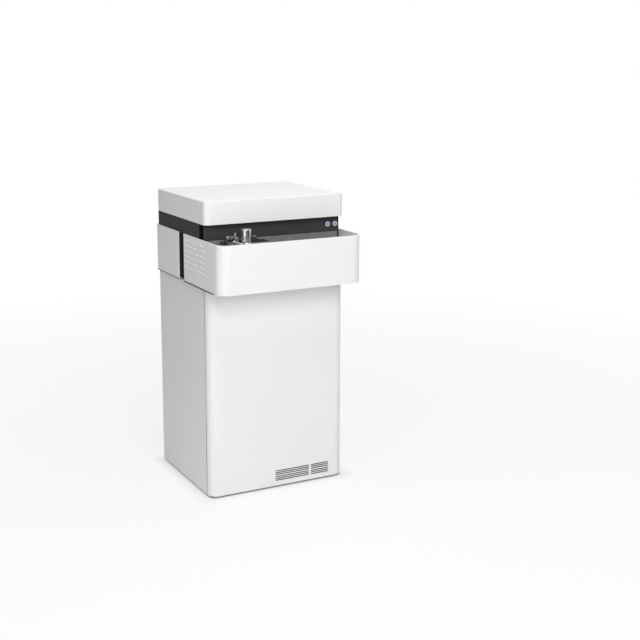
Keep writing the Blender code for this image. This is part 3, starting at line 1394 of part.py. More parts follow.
def make_grating(parts, cutters):
    """Concave grating in its mount, at the rear of the chamber."""
    back = CHAMBER_REAR - GRATING_FROM_REAR
    x = APERTURE[0] + GRATING_OFFSET
    low = CHAMBER_FLOOR + SEAT_GAP
    high = LIGHT_HEIGHT + GRATING_RADIUS + MOUNT_FOOT_HEIGHT
    upright = ((x - MOUNT_WIDTH / 2, back, low), (x + MOUNT_WIDTH / 2, back + MOUNT_DEPTH, high))
    mount = blocks("grating_mount", [upright], parts)
    foot_front = back - MOUNT_FOOT + MOUNT_DEPTH
    foot_back = back + MOUNT_DEPTH / 2
    foot_box = ((upright[0][0], foot_front, low), (upright[1][0], foot_back, low + MOUNT_FOOT_HEIGHT))
    join(mount, blocks("mount_foot", [foot_box], cutters))
    seat = GRATING_RADIUS + SEAT_GAP
    pocket_depth = GRATING_THICKNESS + SEAT_GAP
    pocket = circle((x, LIGHT_HEIGHT), seat)
    cut(mount, slab("grating_pocket", [pocket], back - OVERRUN, back + pocket_depth, cutters, "Y"))
    face = GRATING_THICKNESS
    profile = [
        (0, face - GRATING_DISH),
        (GRATING_RADIUS / 2, face - GRATING_DISH * GRATING_DISH_SHARE),
        (GRATING_RADIUS - GRATING_DISH, face),
        (GRATING_RADIUS, face),
        (GRATING_RADIUS, 0),
        (0, 0),
    ]
    place = (x, back + GRATING_THICKNESS, LIGHT_HEIGHT)
    glass = turned("grating", profile, ROUND_STEPS, parts, place, "-Y")
    dress(mount, ALUMINIUM)
    return dress(glass, GLASS_GREY)


def make_detector_rail(parts):
    """Curved rail of detectors along the focal circle."""
    middle = (CHAMBER_WIDTH / 2 - CHAMBER_WALL) - RAIL_RADIUS - RAIL_WIDTH
    centre = (middle, (CHAMBER_FRONT + CHAMBER_REAR) / 2)
    half_length = (CHAMBER_REAR - CHAMBER_FRONT) / 2 - CHAMBER_WALL - RAIL_END_GAP
    sweep = math.degrees(math.asin(half_length / (RAIL_RADIUS + RAIL_WIDTH / 2)))
    outer = arc(centre, RAIL_RADIUS + RAIL_WIDTH / 2, -sweep, sweep, RAIL_STEPS)
    inner = arc(centre, RAIL_RADIUS - RAIL_WIDTH / 2, sweep, -sweep, RAIL_STEPS)
    low = CHAMBER_FLOOR + SEAT_GAP
    rail = slab("detector_rail", [outer + inner], low, low + RAIL_HEIGHT, parts)
    return dress(rail, CIRCUIT_BOX)


def make_readout(parts):
    """Readout electronics on the chamber lid, under the hood."""
    low = CHAMBER_TOP + 2 * SEAT_GAP + LID_THICKNESS
    middle = (CHAMBER_FRONT + CHAMBER_REAR) / 2
    half_width, half_depth = READOUT_WIDTH / 2, READOUT_DEPTH / 2
    box = ((-half_width, middle - half_depth, low), (half_width, middle + half_depth, low + READOUT_HEIGHT))
    return dress(round_edges(blocks("readout_unit", [box], parts), BOX_EDGE, 1), CIRCUIT_BOX)


def make_spark_source(parts, cutters):
    """Spark generator box on the base tray, with its high-voltage bushing."""
    x0 = -STRUT_HALF + INNER_SIDE_MARGIN
    y0 = SOURCE_FRONT
    low = TRAY_FLOOR_TOP + SEAT_GAP
    high = low + SOURCE_HEIGHT
    box = ((x0, y0, low), (x0 + SOURCE_WIDTH, y0 + SOURCE_DEPTH, high))
    source = blocks("spark_source", [box], parts)
    round_edges(source, BOX_EDGE, 1)
    top = high + SOURCE_BUSHING_HEIGHT
    radius = SOURCE_BUSHING_RADIUS
    inside = high - BOX_EDGE * 2
    bushing = [(0, top), (radius / 2, top), (radius, high + BOX_EDGE), (radius, inside), (0, inside)]
    place = (x0 + SOURCE_WIDTH / 2, y0 + SOURCE_DEPTH * SOURCE_BUSHING_SHARE, 0)
    join(source, turned("source_bushing", bushing, SMALL_STEPS, cutters, place))
    return dress(source, CIRCUIT_BOX)


def make_power_supply(parts):
    """Power supply with cooling fins along its top, on the base tray."""
    x1 = STRUT_HALF - INNER_SIDE_MARGIN
    x0 = x1 - SUPPLY_WIDTH
    low = TRAY_FLOOR_TOP + SEAT_GAP
    high = low + SUPPLY_HEIGHT
    valley = high - SUPPLY_FIN_HEIGHT
    pitch = (SUPPLY_WIDTH - SUPPLY_FIN_THICKNESS) / (SUPPLY_FINS - 1)
    outline = [(x0, low), (x1, low)]
    for index in reversed(range(SUPPLY_FINS)):
        left = x0 + index * pitch
        right = left + SUPPLY_FIN_THICKNESS
        outline += [(right, high), (left, high)]
        if index:
            outline += [(left, valley), (left - pitch + SUPPLY_FIN_THICKNESS, valley)]
    y0 = SOURCE_FRONT
    supply = slab("power_supply", [outline], y0, y0 + SUPPLY_DEPTH, parts, "Y")
    return dress(supply, ALUMINIUM)


def make_control_unit(parts):
    """Control and communication box on the shelf."""
    x0 = -STRUT_HALF + INNER_SIDE_MARGIN
    y0 = STRUT_FRONT + SOURCE_FROM_FRONT
    low = SHELF_HEIGHT + SHELF_THICKNESS + SEAT_GAP
    box = ((x0, y0, low), (x0 + CONTROL_WIDTH, y0 + CONTROL_DEPTH, low + CONTROL_HEIGHT))
    return dress(round_edges(blocks("control_unit", [box], parts), BOX_EDGE, 1), CIRCUIT_BOX)


def make_gas_block(parts, cutters):
    """Argon manifold on the shelf, with its valves in a row."""
    x1 = STRUT_HALF - INNER_SIDE_MARGIN
    x0 = x1 - GAS_WIDTH
    y0 = STRUT_FRONT + SOURCE_FROM_FRONT
    low = SHELF_HEIGHT + SHELF_THICKNESS + SEAT_GAP
    high = low + GAS_HEIGHT
    manifold = blocks("argon_block", [((x0, y0, low), (x1, y0 + GAS_DEPTH, high))], parts)
    pitch = GAS_WIDTH / GAS_VALVES
    radius = GAS_VALVE_RADIUS
    top = high + GAS_VALVE_HEIGHT
    for index in range(GAS_VALVES):
        place = (x0 + pitch * index + pitch / 2, y0 + GAS_DEPTH / 2, 0)
        coil = [(0, top), (radius, top), (radius, high - OVERRUN), (0, high - OVERRUN)]
        join(manifold, turned(f"valve_{index}", coil, SMALL_STEPS, cutters, place))
    return dress(manifold, BRASS)


def make_exhaust_filter(parts):
    """Upright filter bottle for the spark stand's exhaust, on the shelf."""
    low = SHELF_HEIGHT + SHELF_THICKNESS + SEAT_GAP
    high = low + FILTER_HEIGHT
    cap = FILTER_RADIUS + FILTER_CAP_PROUD
    profile = [
        (0, high + FILTER_SPOUT_HEIGHT),
        (FILTER_SPOUT_RADIUS, high + FILTER_SPOUT_HEIGHT),
        (FILTER_SPOUT_RADIUS, high),
        (cap, high),
        (cap, high - FILTER_CAP_HEIGHT),
        (FILTER_RADIUS, high - FILTER_CAP_HEIGHT),
        (FILTER_RADIUS, low),
        (0, low),
    ]
    x = STRUT_HALF - INNER_SIDE_MARGIN - GAS_WIDTH / 2
    y = STRUT_REAR - INNER_SIDE_MARGIN - FILTER_RADIUS - FAN_DEPTH
    bottle = turned("exhaust_filter", profile, SMALL_STEPS, parts, (x, y, 0))
    return dress(bottle, GLASS_GREY)


def make_fan(parts, cutters):
    """Square fan frame with its spider, and the seven-bladed rotor."""
    back = REAR_PANEL_FRONT - SEAT_GAP
    front = back - FAN_DEPTH
    half = FAN_SIZE / 2
    low, high = FAN_HEIGHT - half, FAN_HEIGHT + half
    edge = rounded_rectangle(-half, half, low, high, FAN_CORNER, FAN_CORNER)
    frame = slab("fan_frame", [edge, circle((0, FAN_HEIGHT), FAN_BORE)], front, back, parts, "Y")
    spider = [circle((0, FAN_HEIGHT), FAN_HUB_RADIUS)]
    join(frame, slab("fan_motor_seat", spider, front, front + FAN_SPOKE_DEPTH, cutters, "Y"))
    reach = FAN_BORE + FAN_CORNER / 2
    z = FAN_HEIGHT
    bars = [
        ((-reach, front, z - FAN_SPOKE / 2), (reach, front + FAN_SPOKE_DEPTH, z + FAN_SPOKE / 2)),
        ((-FAN_SPOKE / 2, front, z - reach), (FAN_SPOKE / 2, front + FAN_SPOKE_DEPTH, z + reach)),
    ]
    for index, bar in enumerate(bars):
        join(frame, blocks(f"fan_spoke_{index}", [bar], cutters))
    dress(frame, BLACK_PLASTIC)
    hub_front = front + FAN_SPOKE_DEPTH + RUN_GAP
    axis = (0, hub_front, z)
    profile = [(0, ROTOR_HUB_DEPTH), (FAN_HUB_RADIUS, ROTOR_HUB_DEPTH), (FAN_HUB_RADIUS, 0), (0, 0)]
    rotor = turned("fan_rotor", profile, ROUND_STEPS, parts, axis, "Y")
    inner, outer = FAN_HUB_RADIUS - BLADE_THICKNESS, FAN_BORE - ROTOR_TIP_GAP
    chord = ROTOR_HUB_DEPTH * BLADE_REACH_SHARE / math.sin(math.radians(BLADE_PITCH))
    for index in range(BLADE_COUNT):
        blade = blocks(
            f"blade_{index}",
            [((inner, -chord / 2, -BLADE_THICKNESS / 2), (outer, chord / 2, BLADE_THICKNESS / 2))],
            cutters,
        )
        pitch = Matrix.Rotation(math.radians(BLADE_PITCH), 4, "X")
        spin = Matrix.Rotation(math.radians(FULL_TURN) * index / BLADE_COUNT, 4, "Y")
        blade.data.transform(Matrix.Translation((0, ROTOR_HUB_DEPTH / 2, 0)) @ spin @ pitch)
        blade.location = axis
        join(rotor, blade)
    return dress(rotor, BLACK_PLASTIC)


def rocker_place():
    """The middle of the mains rocker, as x and z."""
    x, z = inlet_place()
    return (x + INLET_WIDTH / 2 - SOCKET_EDGE - RUN_GAP - ROCKER_WIDTH / 2, z)


def make_power_inlet(parts, cutters):
    """Mains inlet moulding on the rear panel: a socket recess beside the rocker's well."""
    x, z = inlet_place()
    face = REAR_PANEL_BACK + SEAT_GAP
    rim = face + INLET_FLANGE
    half_width, half_height = INLET_WIDTH / 2, INLET_HEIGHT / 2
    flange = ((x - half_width, face, z - half_height), (x + half_width, rim, z + half_height))
    margin = INLET_BODY_MARGIN
    inlet = blocks("power_inlet", [flange], parts)
    body = (
        (x - half_width + margin, face - INLET_BODY_DEPTH, z - half_height + margin),
        (x + half_width - margin, rim - SEAT_GAP, z + half_height - margin),
    )
    join(inlet, blocks("inlet_body", [body], cutters))
    left = x - half_width + SOCKET_EDGE
    socket = (
        (left, rim - SOCKET_DEPTH, z - SOCKET_HEIGHT / 2),
        (left + SOCKET_WIDTH, rim + OVERRUN, z + SOCKET_HEIGHT / 2),
    )
    rocker_x, _ = rocker_place()
    reach_x = ROCKER_WIDTH / 2 + RUN_GAP
    reach_z = ROCKER_HEIGHT / 2 + ROCKER_END_GAP
    well = (
        (rocker_x - reach_x, rim - ROCKER_DEPTH - ROCKER_END_GAP, z - reach_z),
        (rocker_x + reach_x, rim + OVERRUN, z + reach_z),
    )
    cut(inlet, blocks("inlet_recesses", [socket, well], cutters))
    return dress(inlet, BLACK_PLASTIC)


def make_rocker(parts):
    """Mains rocker with a shallow valley across its face, tilted to its off side at rest."""
    x, z = rocker_place()
    rim = REAR_PANEL_BACK + SEAT_GAP + INLET_FLANGE
    half = ROCKER_HEIGHT / 2
    valley = ROCKER_PROUD - half * math.tan(math.radians(ROCKER_TILT))
    depth = ROCKER_DEPTH / 2
    section = [
        (-depth, -half * ROCKER_WAIST_SHARE),
        (0, -half),
        (ROCKER_PROUD, -half),
        (valley, 0),
        (ROCKER_PROUD, half),
        (0, half),
        (-depth, half * ROCKER_WAIST_SHARE),
    ]
    outline = [(rim + u, z + v) for u, v in section]
    low, high = x - ROCKER_WIDTH / 2, x + ROCKER_WIDTH / 2
    rocker = slab("mains_rocker", [outline], low, high, parts, "X")
    move_origin(rocker, (x, rim, z))
    rocker.rotation_euler.x = math.radians(-ROCKER_TILT / 2)
    return dress(rocker, BLACK_PLASTIC)


def make_gas_fitting(parts, cutters):
    """Argon inlet fitting on the rear panel: a hexagon on a bored stem that passes through."""
    x, z = fitting_place()
    face = REAR_PANEL_BACK + SEAT_GAP
    length = FITTING_LENGTH
    stem = [(FITTING_BORE, length), (FITTING_STEM, length), (FITTING_STEM, -length), (FITTING_BORE, -length)]
    fitting = turned("gas_fitting", stem, SMALL_STEPS, parts, (x, face, z), "Y", ring=True)
    inside = circle((x, z), (FITTING_BORE + FITTING_STEM) / 2, SMALL_STEPS)
    outline = circle((x, z), FITTING_RADIUS, HEX_STEPS)
    join(fitting, slab("fitting_hex", [outline, inside], face, face + FITTING_HEX_DEPTH, cutters, "Y"))
    return dress(fitting, BRASS)


def build():
    """Builds the whole instrument, from the floor up."""
    clear_scene()
    parts = new_collection("spark_emission_spectrometer")
    cutters = new_collection("cutters")
    for name, place in foot_places().items():
        make_foot(name, place, parts)
    make_base_tray(parts, cutters)
    for side, word in ((-1, "left"), (1, "right")):
        make_upright("front_" + word, side, STRUT_FRONT, 1, parts)
        make_upright("rear_" + word, side, STRUT_REAR, -1, parts)
        make_side_panel(side, parts)
        make_channel_strip(side, parts)
    make_shelf(parts, cutters)
    make_deck_plate(parts)
    make_front_panel(parts, cutters)
    make_rear_panel(parts)
    make_collar_front(parts, cutters)
    make_collar_rear(parts)
    make_well_floor(parts)
    make_well_back(parts)
    make_upper_frame(parts, cutters)
    make_fascia(parts)
    make_hood(parts)
    make_hood_pan(parts)
    for word, x in zip(("start", "power"), button_places()):
        make_bezel("bezel_" + word, x, parts)
        make_button("button_" + word, x, parts)
    make_stand_body(parts, cutters)
    make_insulator(parts)
    make_electrode(parts)
    make_spark_plate(parts, cutters)
    make_column(parts)
    make_clamp_arm(parts, cutters)
    make_clamp_lever(parts, cutters)
    make_plunger(parts)
    make_plate_knob(parts, cutters)
    make_chamber(parts, cutters)
    make_chamber_lid(parts)
    make_light_tube(parts)
    make_slit_block(parts, cutters)
    make_grating(parts, cutters)
    make_detector_rail(parts)
    make_readout(parts)
    make_spark_source(parts, cutters)
    make_power_supply(parts)
    make_control_unit(parts)
    make_gas_block(parts, cutters)
    make_exhaust_filter(parts)
    make_fan(parts, cutters)
    make_power_inlet(parts, cutters)
    make_rocker(parts)
    make_gas_fitting(parts, cutters)


build()
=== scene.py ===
# %% [markdown]
# # A floor-standing spark spectrometer, dressed for its portrait
#
# The solids of this laboratory instrument come ready made: a white sheet-steel cabinet, a collar that
# makes an open well at working height, a spark stand in the well, a dark fascia with two push-buttons,
# and a hood. This lesson gives every surface its finish, and rebuilds the small bright fittings that
# a viewer looks at first. Everything is in metres, and the front faces -Y.

import math

import bmesh
import bpy
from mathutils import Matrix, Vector


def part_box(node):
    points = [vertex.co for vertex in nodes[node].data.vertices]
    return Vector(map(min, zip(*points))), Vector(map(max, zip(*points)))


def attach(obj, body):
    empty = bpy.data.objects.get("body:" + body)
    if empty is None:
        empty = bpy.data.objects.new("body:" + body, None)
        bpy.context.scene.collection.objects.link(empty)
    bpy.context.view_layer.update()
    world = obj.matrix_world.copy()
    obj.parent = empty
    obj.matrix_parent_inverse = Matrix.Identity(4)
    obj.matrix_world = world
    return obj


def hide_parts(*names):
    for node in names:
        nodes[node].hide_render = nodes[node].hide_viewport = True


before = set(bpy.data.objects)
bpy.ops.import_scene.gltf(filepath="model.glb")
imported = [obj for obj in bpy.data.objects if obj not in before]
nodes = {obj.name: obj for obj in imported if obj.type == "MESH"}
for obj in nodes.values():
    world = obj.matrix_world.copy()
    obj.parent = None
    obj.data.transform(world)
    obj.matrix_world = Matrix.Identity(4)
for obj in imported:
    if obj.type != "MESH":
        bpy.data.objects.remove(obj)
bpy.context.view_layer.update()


def added(name, data):
    """A new object in the scene."""
    item = bpy.data.objects.new(name, data)
    bpy.context.scene.collection.objects.link(item)
    return item


def centre(name):
    """The middle of a solid's box."""
    low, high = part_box(name)
    return Vector([(a + b) / 2 for a, b in zip(low, high)])


def half_width(name):
    """Half of a solid's width, or the radius of a round one."""
    low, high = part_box(name)
    return (high[0] - low[0]) / 2


# %% [markdown]
# ## The camera
#
# The photograph was taken from about eye height, to the left of the front, with a longish lens. The
# uprights in it lean less than such a downward view would give, as with a lens that is shifted down
# instead of tilted, so the camera here shifts its lens a little too. Its place, turn and pitch were
# found from the cabinet's own edges.

# %% Camera
LENS = 63.68
CAMERA_PLACE = (-2.051, -4.348, 1.8207)
CAMERA_PITCH = 10.373
CAMERA_TURN = 27.480
LENS_SHIFT = (0.0312, -0.0875)

camera_data = bpy.data.cameras.new("portrait_camera")
camera_data.lens = LENS
camera_data.shift_x, camera_data.shift_y = LENS_SHIFT
camera_data.clip_end = 60
camera = added("portrait_camera", camera_data)
camera.location = CAMERA_PLACE
camera.rotation_euler = (math.radians(90 - CAMERA_PITCH), 0, math.radians(-CAMERA_TURN))
bpy.context.scene.camera = camera
print("camera at", CAMERA_PLACE, "looking", CAMERA_PITCH, "degrees down")

# %% [markdown]
# ## Numbers that run between shader nodes
#
# A finish is a small calculation: a noise, a mask, a blend of two values. Wiring Math nodes by hand is
# slow to read, so one class wraps a socket and lets Python's own operators add the nodes. A second
# class holds one material and adds any other node in a single call, settings first and sockets after.

# %% Shader maths
class Wire:
    """One output of a shader node, with which Python's operators work."""

    def __init__(self, finish, socket):
        self.finish = finish
        self.socket = socket

    def math(self, operation, *values):
        return self.finish.node("ShaderNodeMath", {"operation": operation}, *values)

    def __add__(self, other):
        return self.math("ADD", self, other)

    def __sub__(self, other):
        return self.math("SUBTRACT", self, other)

    def __rsub__(self, other):
        return self.math("SUBTRACT", other, self)

    def __mul__(self, other):
        return self.math("MULTIPLY", self, other)

    def __abs__(self):
        return self.math("ABSOLUTE", self)

    __radd__ = __add__


class Finish:
    """One material: a Principled shader, and the nodes that vary it."""

    def __init__(self, name, colour, roughness, metallic=0.0, **constants):
        self.material = bpy.data.materials.new(name)
        self.material.use_nodes = True
        self.tree = self.material.node_tree
        self.shader = self.tree.nodes["Principled BSDF"]
        self.set("Base Color", colour)
        self.set("Roughness", roughness)
        self.set("Metallic", metallic)
        for socket, value in constants.items():
            self.set(socket.replace("_", " "), value)

    def plug(self, socket, value):
        """Links a wire to a socket, or writes a plain value into it."""
        if isinstance(value, Wire):
            self.tree.links.new(value.socket, socket)
        elif socket.type == "RGBA":
            socket.default_value = (*value, 1.0)[:4]
        else:
            socket.default_value = value

    def set(self, name, value):
        self.plug(self.shader.inputs[name], value)

    def node(self, kind, settings=None, *values, output=0, **named):
        """Adds a node: its settings, then the values or wires of its sockets."""
        item = self.tree.nodes.new(kind)
        for key, value in (settings or {}).items():
            setattr(item, key, value)
        for socket, value in zip(item.inputs, values):
            self.plug(socket, value)
        for key, value in named.items():
            self.plug(item.inputs[key.replace("_", " ")], value)
        return Wire(self, item.outputs[output])

    def place(self, scale=(1, 1, 1), offset=(0, 0, 0)):
        """The point on the piece, in metres, moved and stretched as asked."""
        point = self.node("ShaderNodeTexCoord", output="Object")
        return self.node("ShaderNodeMapping", None, Vector=point, Location=offset, Scale=scale)

    def parts(self, point):
        """The X, Y and Z of a point, as three wires."""
        outputs = self.node("ShaderNodeSeparateXYZ", None, point).socket.node.outputs
        return [Wire(self, outputs[axis]) for axis in "XYZ"]

    def noise(self, scale, detail=2.0, roughness=0.5, where=None):
        return self.node("ShaderNodeTexNoise", None, Vector=where or self.place(), Scale=scale,
                         Detail=detail, Roughness=roughness)

    def ramp(self, value, *stops):
        """A value remapped by stops of position and level."""
        remapped = self.node("ShaderNodeValToRGB", None, value)
        elements = remapped.socket.node.color_ramp.elements
        while len(elements) < len(stops):
            elements.new(1.0)
        for stop, (position, level) in zip(elements, stops):
            stop.position = position
            stop.color = (level, level, level, 1.0)
        return remapped

    def blend(self, mask, low, high):
        """A colour between two, by a mask."""
        item = self.tree.nodes.new("ShaderNodeMix")
        item.data_type = "RGBA"
        self.plug(item.inputs[0], mask)
        self.plug(item.inputs[6], low)
        self.plug(item.inputs[7], high)
        return Wire(self, item.outputs[2])

    def bump(self, height, distance):
        """Fine relief: a height from 0 to 1 over a distance in metres."""
        self.set("Normal", self.node("ShaderNodeBump", None, Distance=distance, Height=height))


def shade(colour, factor):
    """A colour made lighter or darker."""
    return tuple(min(1.0, value * factor) for value in colour)


print("shader helpers ready")

# %% [markdown]
# ## Powder-coated sheet steel
#
# The cabinet's white is a baked powder coat. Close up it isn't flat: the film flows into a fine orange
# peel about a millimetre across, it is a touch glossier where it lies thicker, and handling leaves a
# faint unevenness over a hand's breadth. All three are kept low, because from two steps away the
# instrument must still read as clean white.

# %% White powder coat
WHITE = (0.870, 0.870, 0.872)


def powder_coat(name, colour, roughness=0.40, peel=0.00006, drift=0.012):
    finish = Finish(name, colour, roughness, Specular_IOR_Level=0.42)
    peel_height = finish.noise(620.0, roughness=0.45)
    cloud = finish.noise(7.0, detail=3.0, roughness=0.55)
    film = finish.noise(90.0)
    finish.set("Base Color", finish.blend(cloud, shade(colour, 1 - drift), shade(colour, 1 + drift)))
    finish.set("Roughness", roughness - 0.05 + film * 0.06 + cloud * 0.04)
    finish.bump(peel_height, peel)
    return finish


white_coat = powder_coat("white_powder_coat", WHITE)
white_inside = powder_coat("white_inside_coat", shade(WHITE, 0.96), 0.46)
print("white coat made")

# %% [markdown]
# ## The dark band
#
# The fascia is charcoal with a satin sheen, and its face carries a very fine brushed grain along the
# panel. A noise stretched fifty times along the panels gives the grain: it moves the roughness and the
# tone a little, so the band stays calm but isn't a flat grey.

# %% Charcoal fascia
CHARCOAL = (0.057, 0.057, 0.058)


def satin_band(name, colour, roughness):
    finish = Finish(name, colour, roughness, Specular_IOR_Level=0.12)
    grain = finish.noise(260.0, detail=3.0, where=finish.place(scale=(0.02, 0.02, 1.0)))
    cloud = finish.noise(9.0)
    tone = grain * 0.5 + cloud * 0.5
    finish.set("Base Color", finish.blend(tone, shade(colour, 0.88), shade(colour, 1.12)))
    finish.set("Roughness", roughness - 0.04 + grain * 0.08)
    finish.bump(grain, 0.00002)
    return finish


charcoal = satin_band("charcoal_fascia", CHARCOAL, 0.50)
print("fascia finish made")

# %% [markdown]
# ## Black mouldings and frames
#
# Moulded parts have a spark-eroded texture, a fine random grain with a soft sparkle. Painted frames
# are smoother. One function serves both, and the rubber, the foam and the plain greys too, with the
# grain's size and depth as its arguments.

# %% Black plastic and black paint
def grained(name, colour, roughness, grain_scale=900.0, depth=0.00008, level=0.4):
    finish = Finish(name, colour, roughness, Specular_IOR_Level=level)
    grain = finish.noise(grain_scale, detail=3.0, roughness=0.6)
    wear = finish.noise(24.0, detail=4.0, roughness=0.6)
    finish.set("Base Color", finish.blend(wear, shade(colour, 0.82), shade(colour, 1.25)))
    finish.set("Roughness", roughness - 0.06 + wear * 0.10)
    finish.bump(grain, depth)
    return finish


BLACK = (0.014, 0.013, 0.016)
moulded_black = grained("moulded_black", BLACK, 0.52)
painted_black = grained("painted_black", (0.0030, 0.0030, 0.0034), 0.60, 500.0, 0.00004, 0.06)
channel_black = grained("channel_black", (0.0045, 0.0040, 0.0085), 0.50, 500.0, 0.00004, 0.10)
rubber = grained("rubber_black", (0.022, 0.022, 0.022), 0.78, 1200.0, 0.0001, 0.25)
# The grey foam is painted shade: a dark mat behind the front slots that stands in for the shade inside
# the cabinet.
shade_foam = grained("filter_foam", (0.105, 0.107, 0.110), 0.90, 420.0, 0.0006, 0.1)
# The base tray's dark grey is painted shade: seen through the lower slots, it stands in for the shade
# inside the cabinet.
tray_shade_grey = grained("tray_grey_paint", (0.105, 0.107, 0.110), 0.60, 500.0, 0.00004, 0.2)
box_grey = grained("box_grey_paint", (0.34, 0.35, 0.37), 0.50, 500.0, 0.00004)
well_grey = grained("well_grey_paint", (0.205, 0.207, 0.212), 0.44, 500.0, 0.00003)
print("blacks and greys made")

# %% [markdown]
# ## Bright metal
#
# Chrome, machined aluminium and brass differ in colour and polish but share one trait: the surface
# keeps the direction in which it was worked. Turned pieces carry fine rings round their axis, so their
# grain changes with height, and milled plates carry straight lines from front to back.

# %% Metals
def worked_metal(name, colour, roughness, lines=(1, 1, 60), depth=0.000006, streak=0.06, scale=40.0):
    finish = Finish(name, colour, roughness, 1.0)
    grain = finish.noise(scale, detail=4.0, roughness=0.65, where=finish.place(scale=lines))
    smudge = finish.noise(38.0, detail=3.0, roughness=0.6)
    finish.set("Base Color", finish.blend(smudge, shade(colour, 0.93), shade(colour, 1.04)))
    finish.set("Roughness", roughness - streak / 2 + grain * streak + smudge * 0.03)
    finish.bump(grain, depth)
    return finish


chrome = worked_metal("polished_chrome", (0.78, 0.78, 0.79), 0.11, streak=0.05)
column_chrome = worked_metal("column_chrome", (0.72, 0.72, 0.725), 0.19, streak=0.05)
steel = worked_metal("screw_steel", (0.56, 0.56, 0.57), 0.26)
aluminium = worked_metal("milled_aluminium", (0.66, 0.67, 0.69), 0.34, (60, 1, 1), 0.00001, 0.12)
brass = worked_metal("turned_brass", (0.62, 0.46, 0.20), 0.28, (1, 60, 1))
tungsten = worked_metal("tungsten_rod", (0.27, 0.27, 0.29), 0.36)
print("metals made")

# %% [markdown]
# ## Zinc-plated sheet
#
# The inner shelf is plated sheet, whose crystals show as flakes a centimetre or so across, each with
# its own brightness. A Voronoi texture is made of such cells, and the level of its cell colour moves
# both the tone and the roughness.

# %% Zinc sheet
def zinc_sheet(name, colour):
    finish = Finish(name, colour, 0.42, 0.85)
    flakes = finish.node("ShaderNodeTexVoronoi", None, Vector=finish.place(), Scale=95.0, output="Color")
    level = finish.node("ShaderNodeSeparateColor", None, flakes)
    fine = finish.noise(300.0)
    finish.set("Base Color", finish.blend(level, shade(colour, 0.80), shade(colour, 1.12)))
    finish.set("Roughness", 0.32 + level * 0.16 + fine * 0.05)
    return finish


zinc = zinc_sheet("zinc_plate", (0.56, 0.58, 0.60))
print("zinc made")

# %% [markdown]
# ## The spark table's dark plate
#
# The plate is hard anodised, nearly black with a blue cast, and lapped flat. Samples are slid over it,
# so it has fine scratches in all directions: a noise stretched into streaks, taken twice at two angles,
# lightens the plate a little wherever either is at its brightest. Its front strip, where every sample
# is laid down first, has been ground bare, so it is a lighter and duller grey.

# %% Anodised plate
GROUND_STRIP = (0.150, 0.147, 0.143)
STRIP_EDGE, STRIP_BLUR = 0.2555, 0.005


def lapped_plate(name, colour):
    finish = Finish(name, colour, 0.30, 0.55)
    first = finish.noise(50.0, detail=5.0, roughness=0.7, where=finish.place(scale=(1.0, 14.0, 1.0)))
    second = finish.noise(50.0, detail=5.0, roughness=0.7, where=finish.place(scale=(16.0, 1.5, 1.0)))
    depth = finish.parts(finish.place())[1]
    strip = finish.ramp((depth * -1.0 - STRIP_EDGE) * (1 / STRIP_BLUR), (0.0, 0.0), (1.0, 1.0))
    toned = finish.blend(strip, colour, GROUND_STRIP)
    finish.set("Metallic", 0.55 - strip * 0.55)
    scratches = finish.ramp(first, (0.60, 0.0), (0.74, 1.0))
    scratches += finish.ramp(second, (0.62, 0.0), (0.76, 1.0))
    finish.set("Base Color", finish.blend(scratches * 0.35, toned, shade(colour, 3.2)))
    finish.set("Roughness", 0.26 + scratches * 0.12 + strip * 0.30)
    finish.bump(scratches, 0.000008)
    return finish


dark_plate = lapped_plate("anodised_plate", (0.030, 0.036, 0.062))
print("plate finish made")

# %% [markdown]
# ## Cast housing, ceramic, glass and the small coloured pieces
#
# The optical chamber is a casting with a coarse sand-blasted skin. The electrode's bush is a cream
# ceramic with fine specks. The grating is coated glass, whose ruling gives it a faint vertical banding.
# Each button's bezel is lavender up to its outer step and navy beyond it, by the distance from its
# middle, because its solid is one piece with one slot.

# %% Cast, ceramic, coated glass, button colours
LAVENDER = (0.70, 0.73, 0.84)
NAVY = (0.014, 0.017, 0.042)


def cast_skin(name, colour):
    finish = Finish(name, colour, 0.62, 0.35)
    coarse = finish.noise(160.0, detail=5.0, roughness=0.65)
    cloud = finish.noise(12.0, detail=3.0)
    tone = cloud * 0.5 + coarse * 0.5
    finish.set("Base Color", finish.blend(tone, shade(colour, 0.78), shade(colour, 1.2)))
    finish.set("Roughness", 0.52 + coarse * 0.16)
    finish.bump(coarse, 0.0003)
    return finish


def specked(name, colour, roughness, speck=0.75, scale=240.0, metallic=0.0):
    finish = Finish(name, colour, roughness, metallic, Coat_Roughness=0.12)
    specks = finish.ramp(finish.noise(scale), (0.62, 0.0), (0.70, 1.0))
    cloud = finish.noise(30.0)
    finish.set("Base Color", finish.blend(specks * 0.4 + cloud * 0.1, colour, shade(colour, speck)))
    finish.set("Roughness", roughness + cloud * 0.05)
    finish.set("Coat Weight", 0.2 + cloud * 0.1)
    return finish


cast_grey = cast_skin("cast_housing", (0.30, 0.31, 0.32))
ceramic = specked("cream_ceramic", (0.78, 0.73, 0.64), 0.40)
bottle = specked("smoky_bottle", (0.36, 0.41, 0.47), 0.18, 0.9)
coated_glass = worked_metal("coated_glass", (0.46, 0.50, 0.58), 0.08, (90, 1, 1), 0.000004, 0.04)
knob_brown = specked("brown_knob", (0.158, 0.137, 0.124), 0.36, 0.7, 400.0, 0.25)
cap_lavender = specked("lavender_cap", (0.66, 0.69, 0.80), 0.30, 0.95)
lens_blue = specked("blue_grey_lens", (0.130, 0.155, 0.220), 0.22, 0.9)
ring_steel = worked_metal("ring_steel", (0.50, 0.49, 0.47), 0.30, streak=0.08)
# Dark bronze for the bridge and stem; on the arm's web its darkness is also painted shade between cup
# and column.
bronze_and_shade = worked_metal("dark_bronze", (0.115, 0.098, 0.086), 0.36, streak=0.08)
satin = worked_metal("satin_steel", (0.95, 0.95, 0.93), 0.48, (1, 1, 1), 0.000008, 0.10, 220.0)
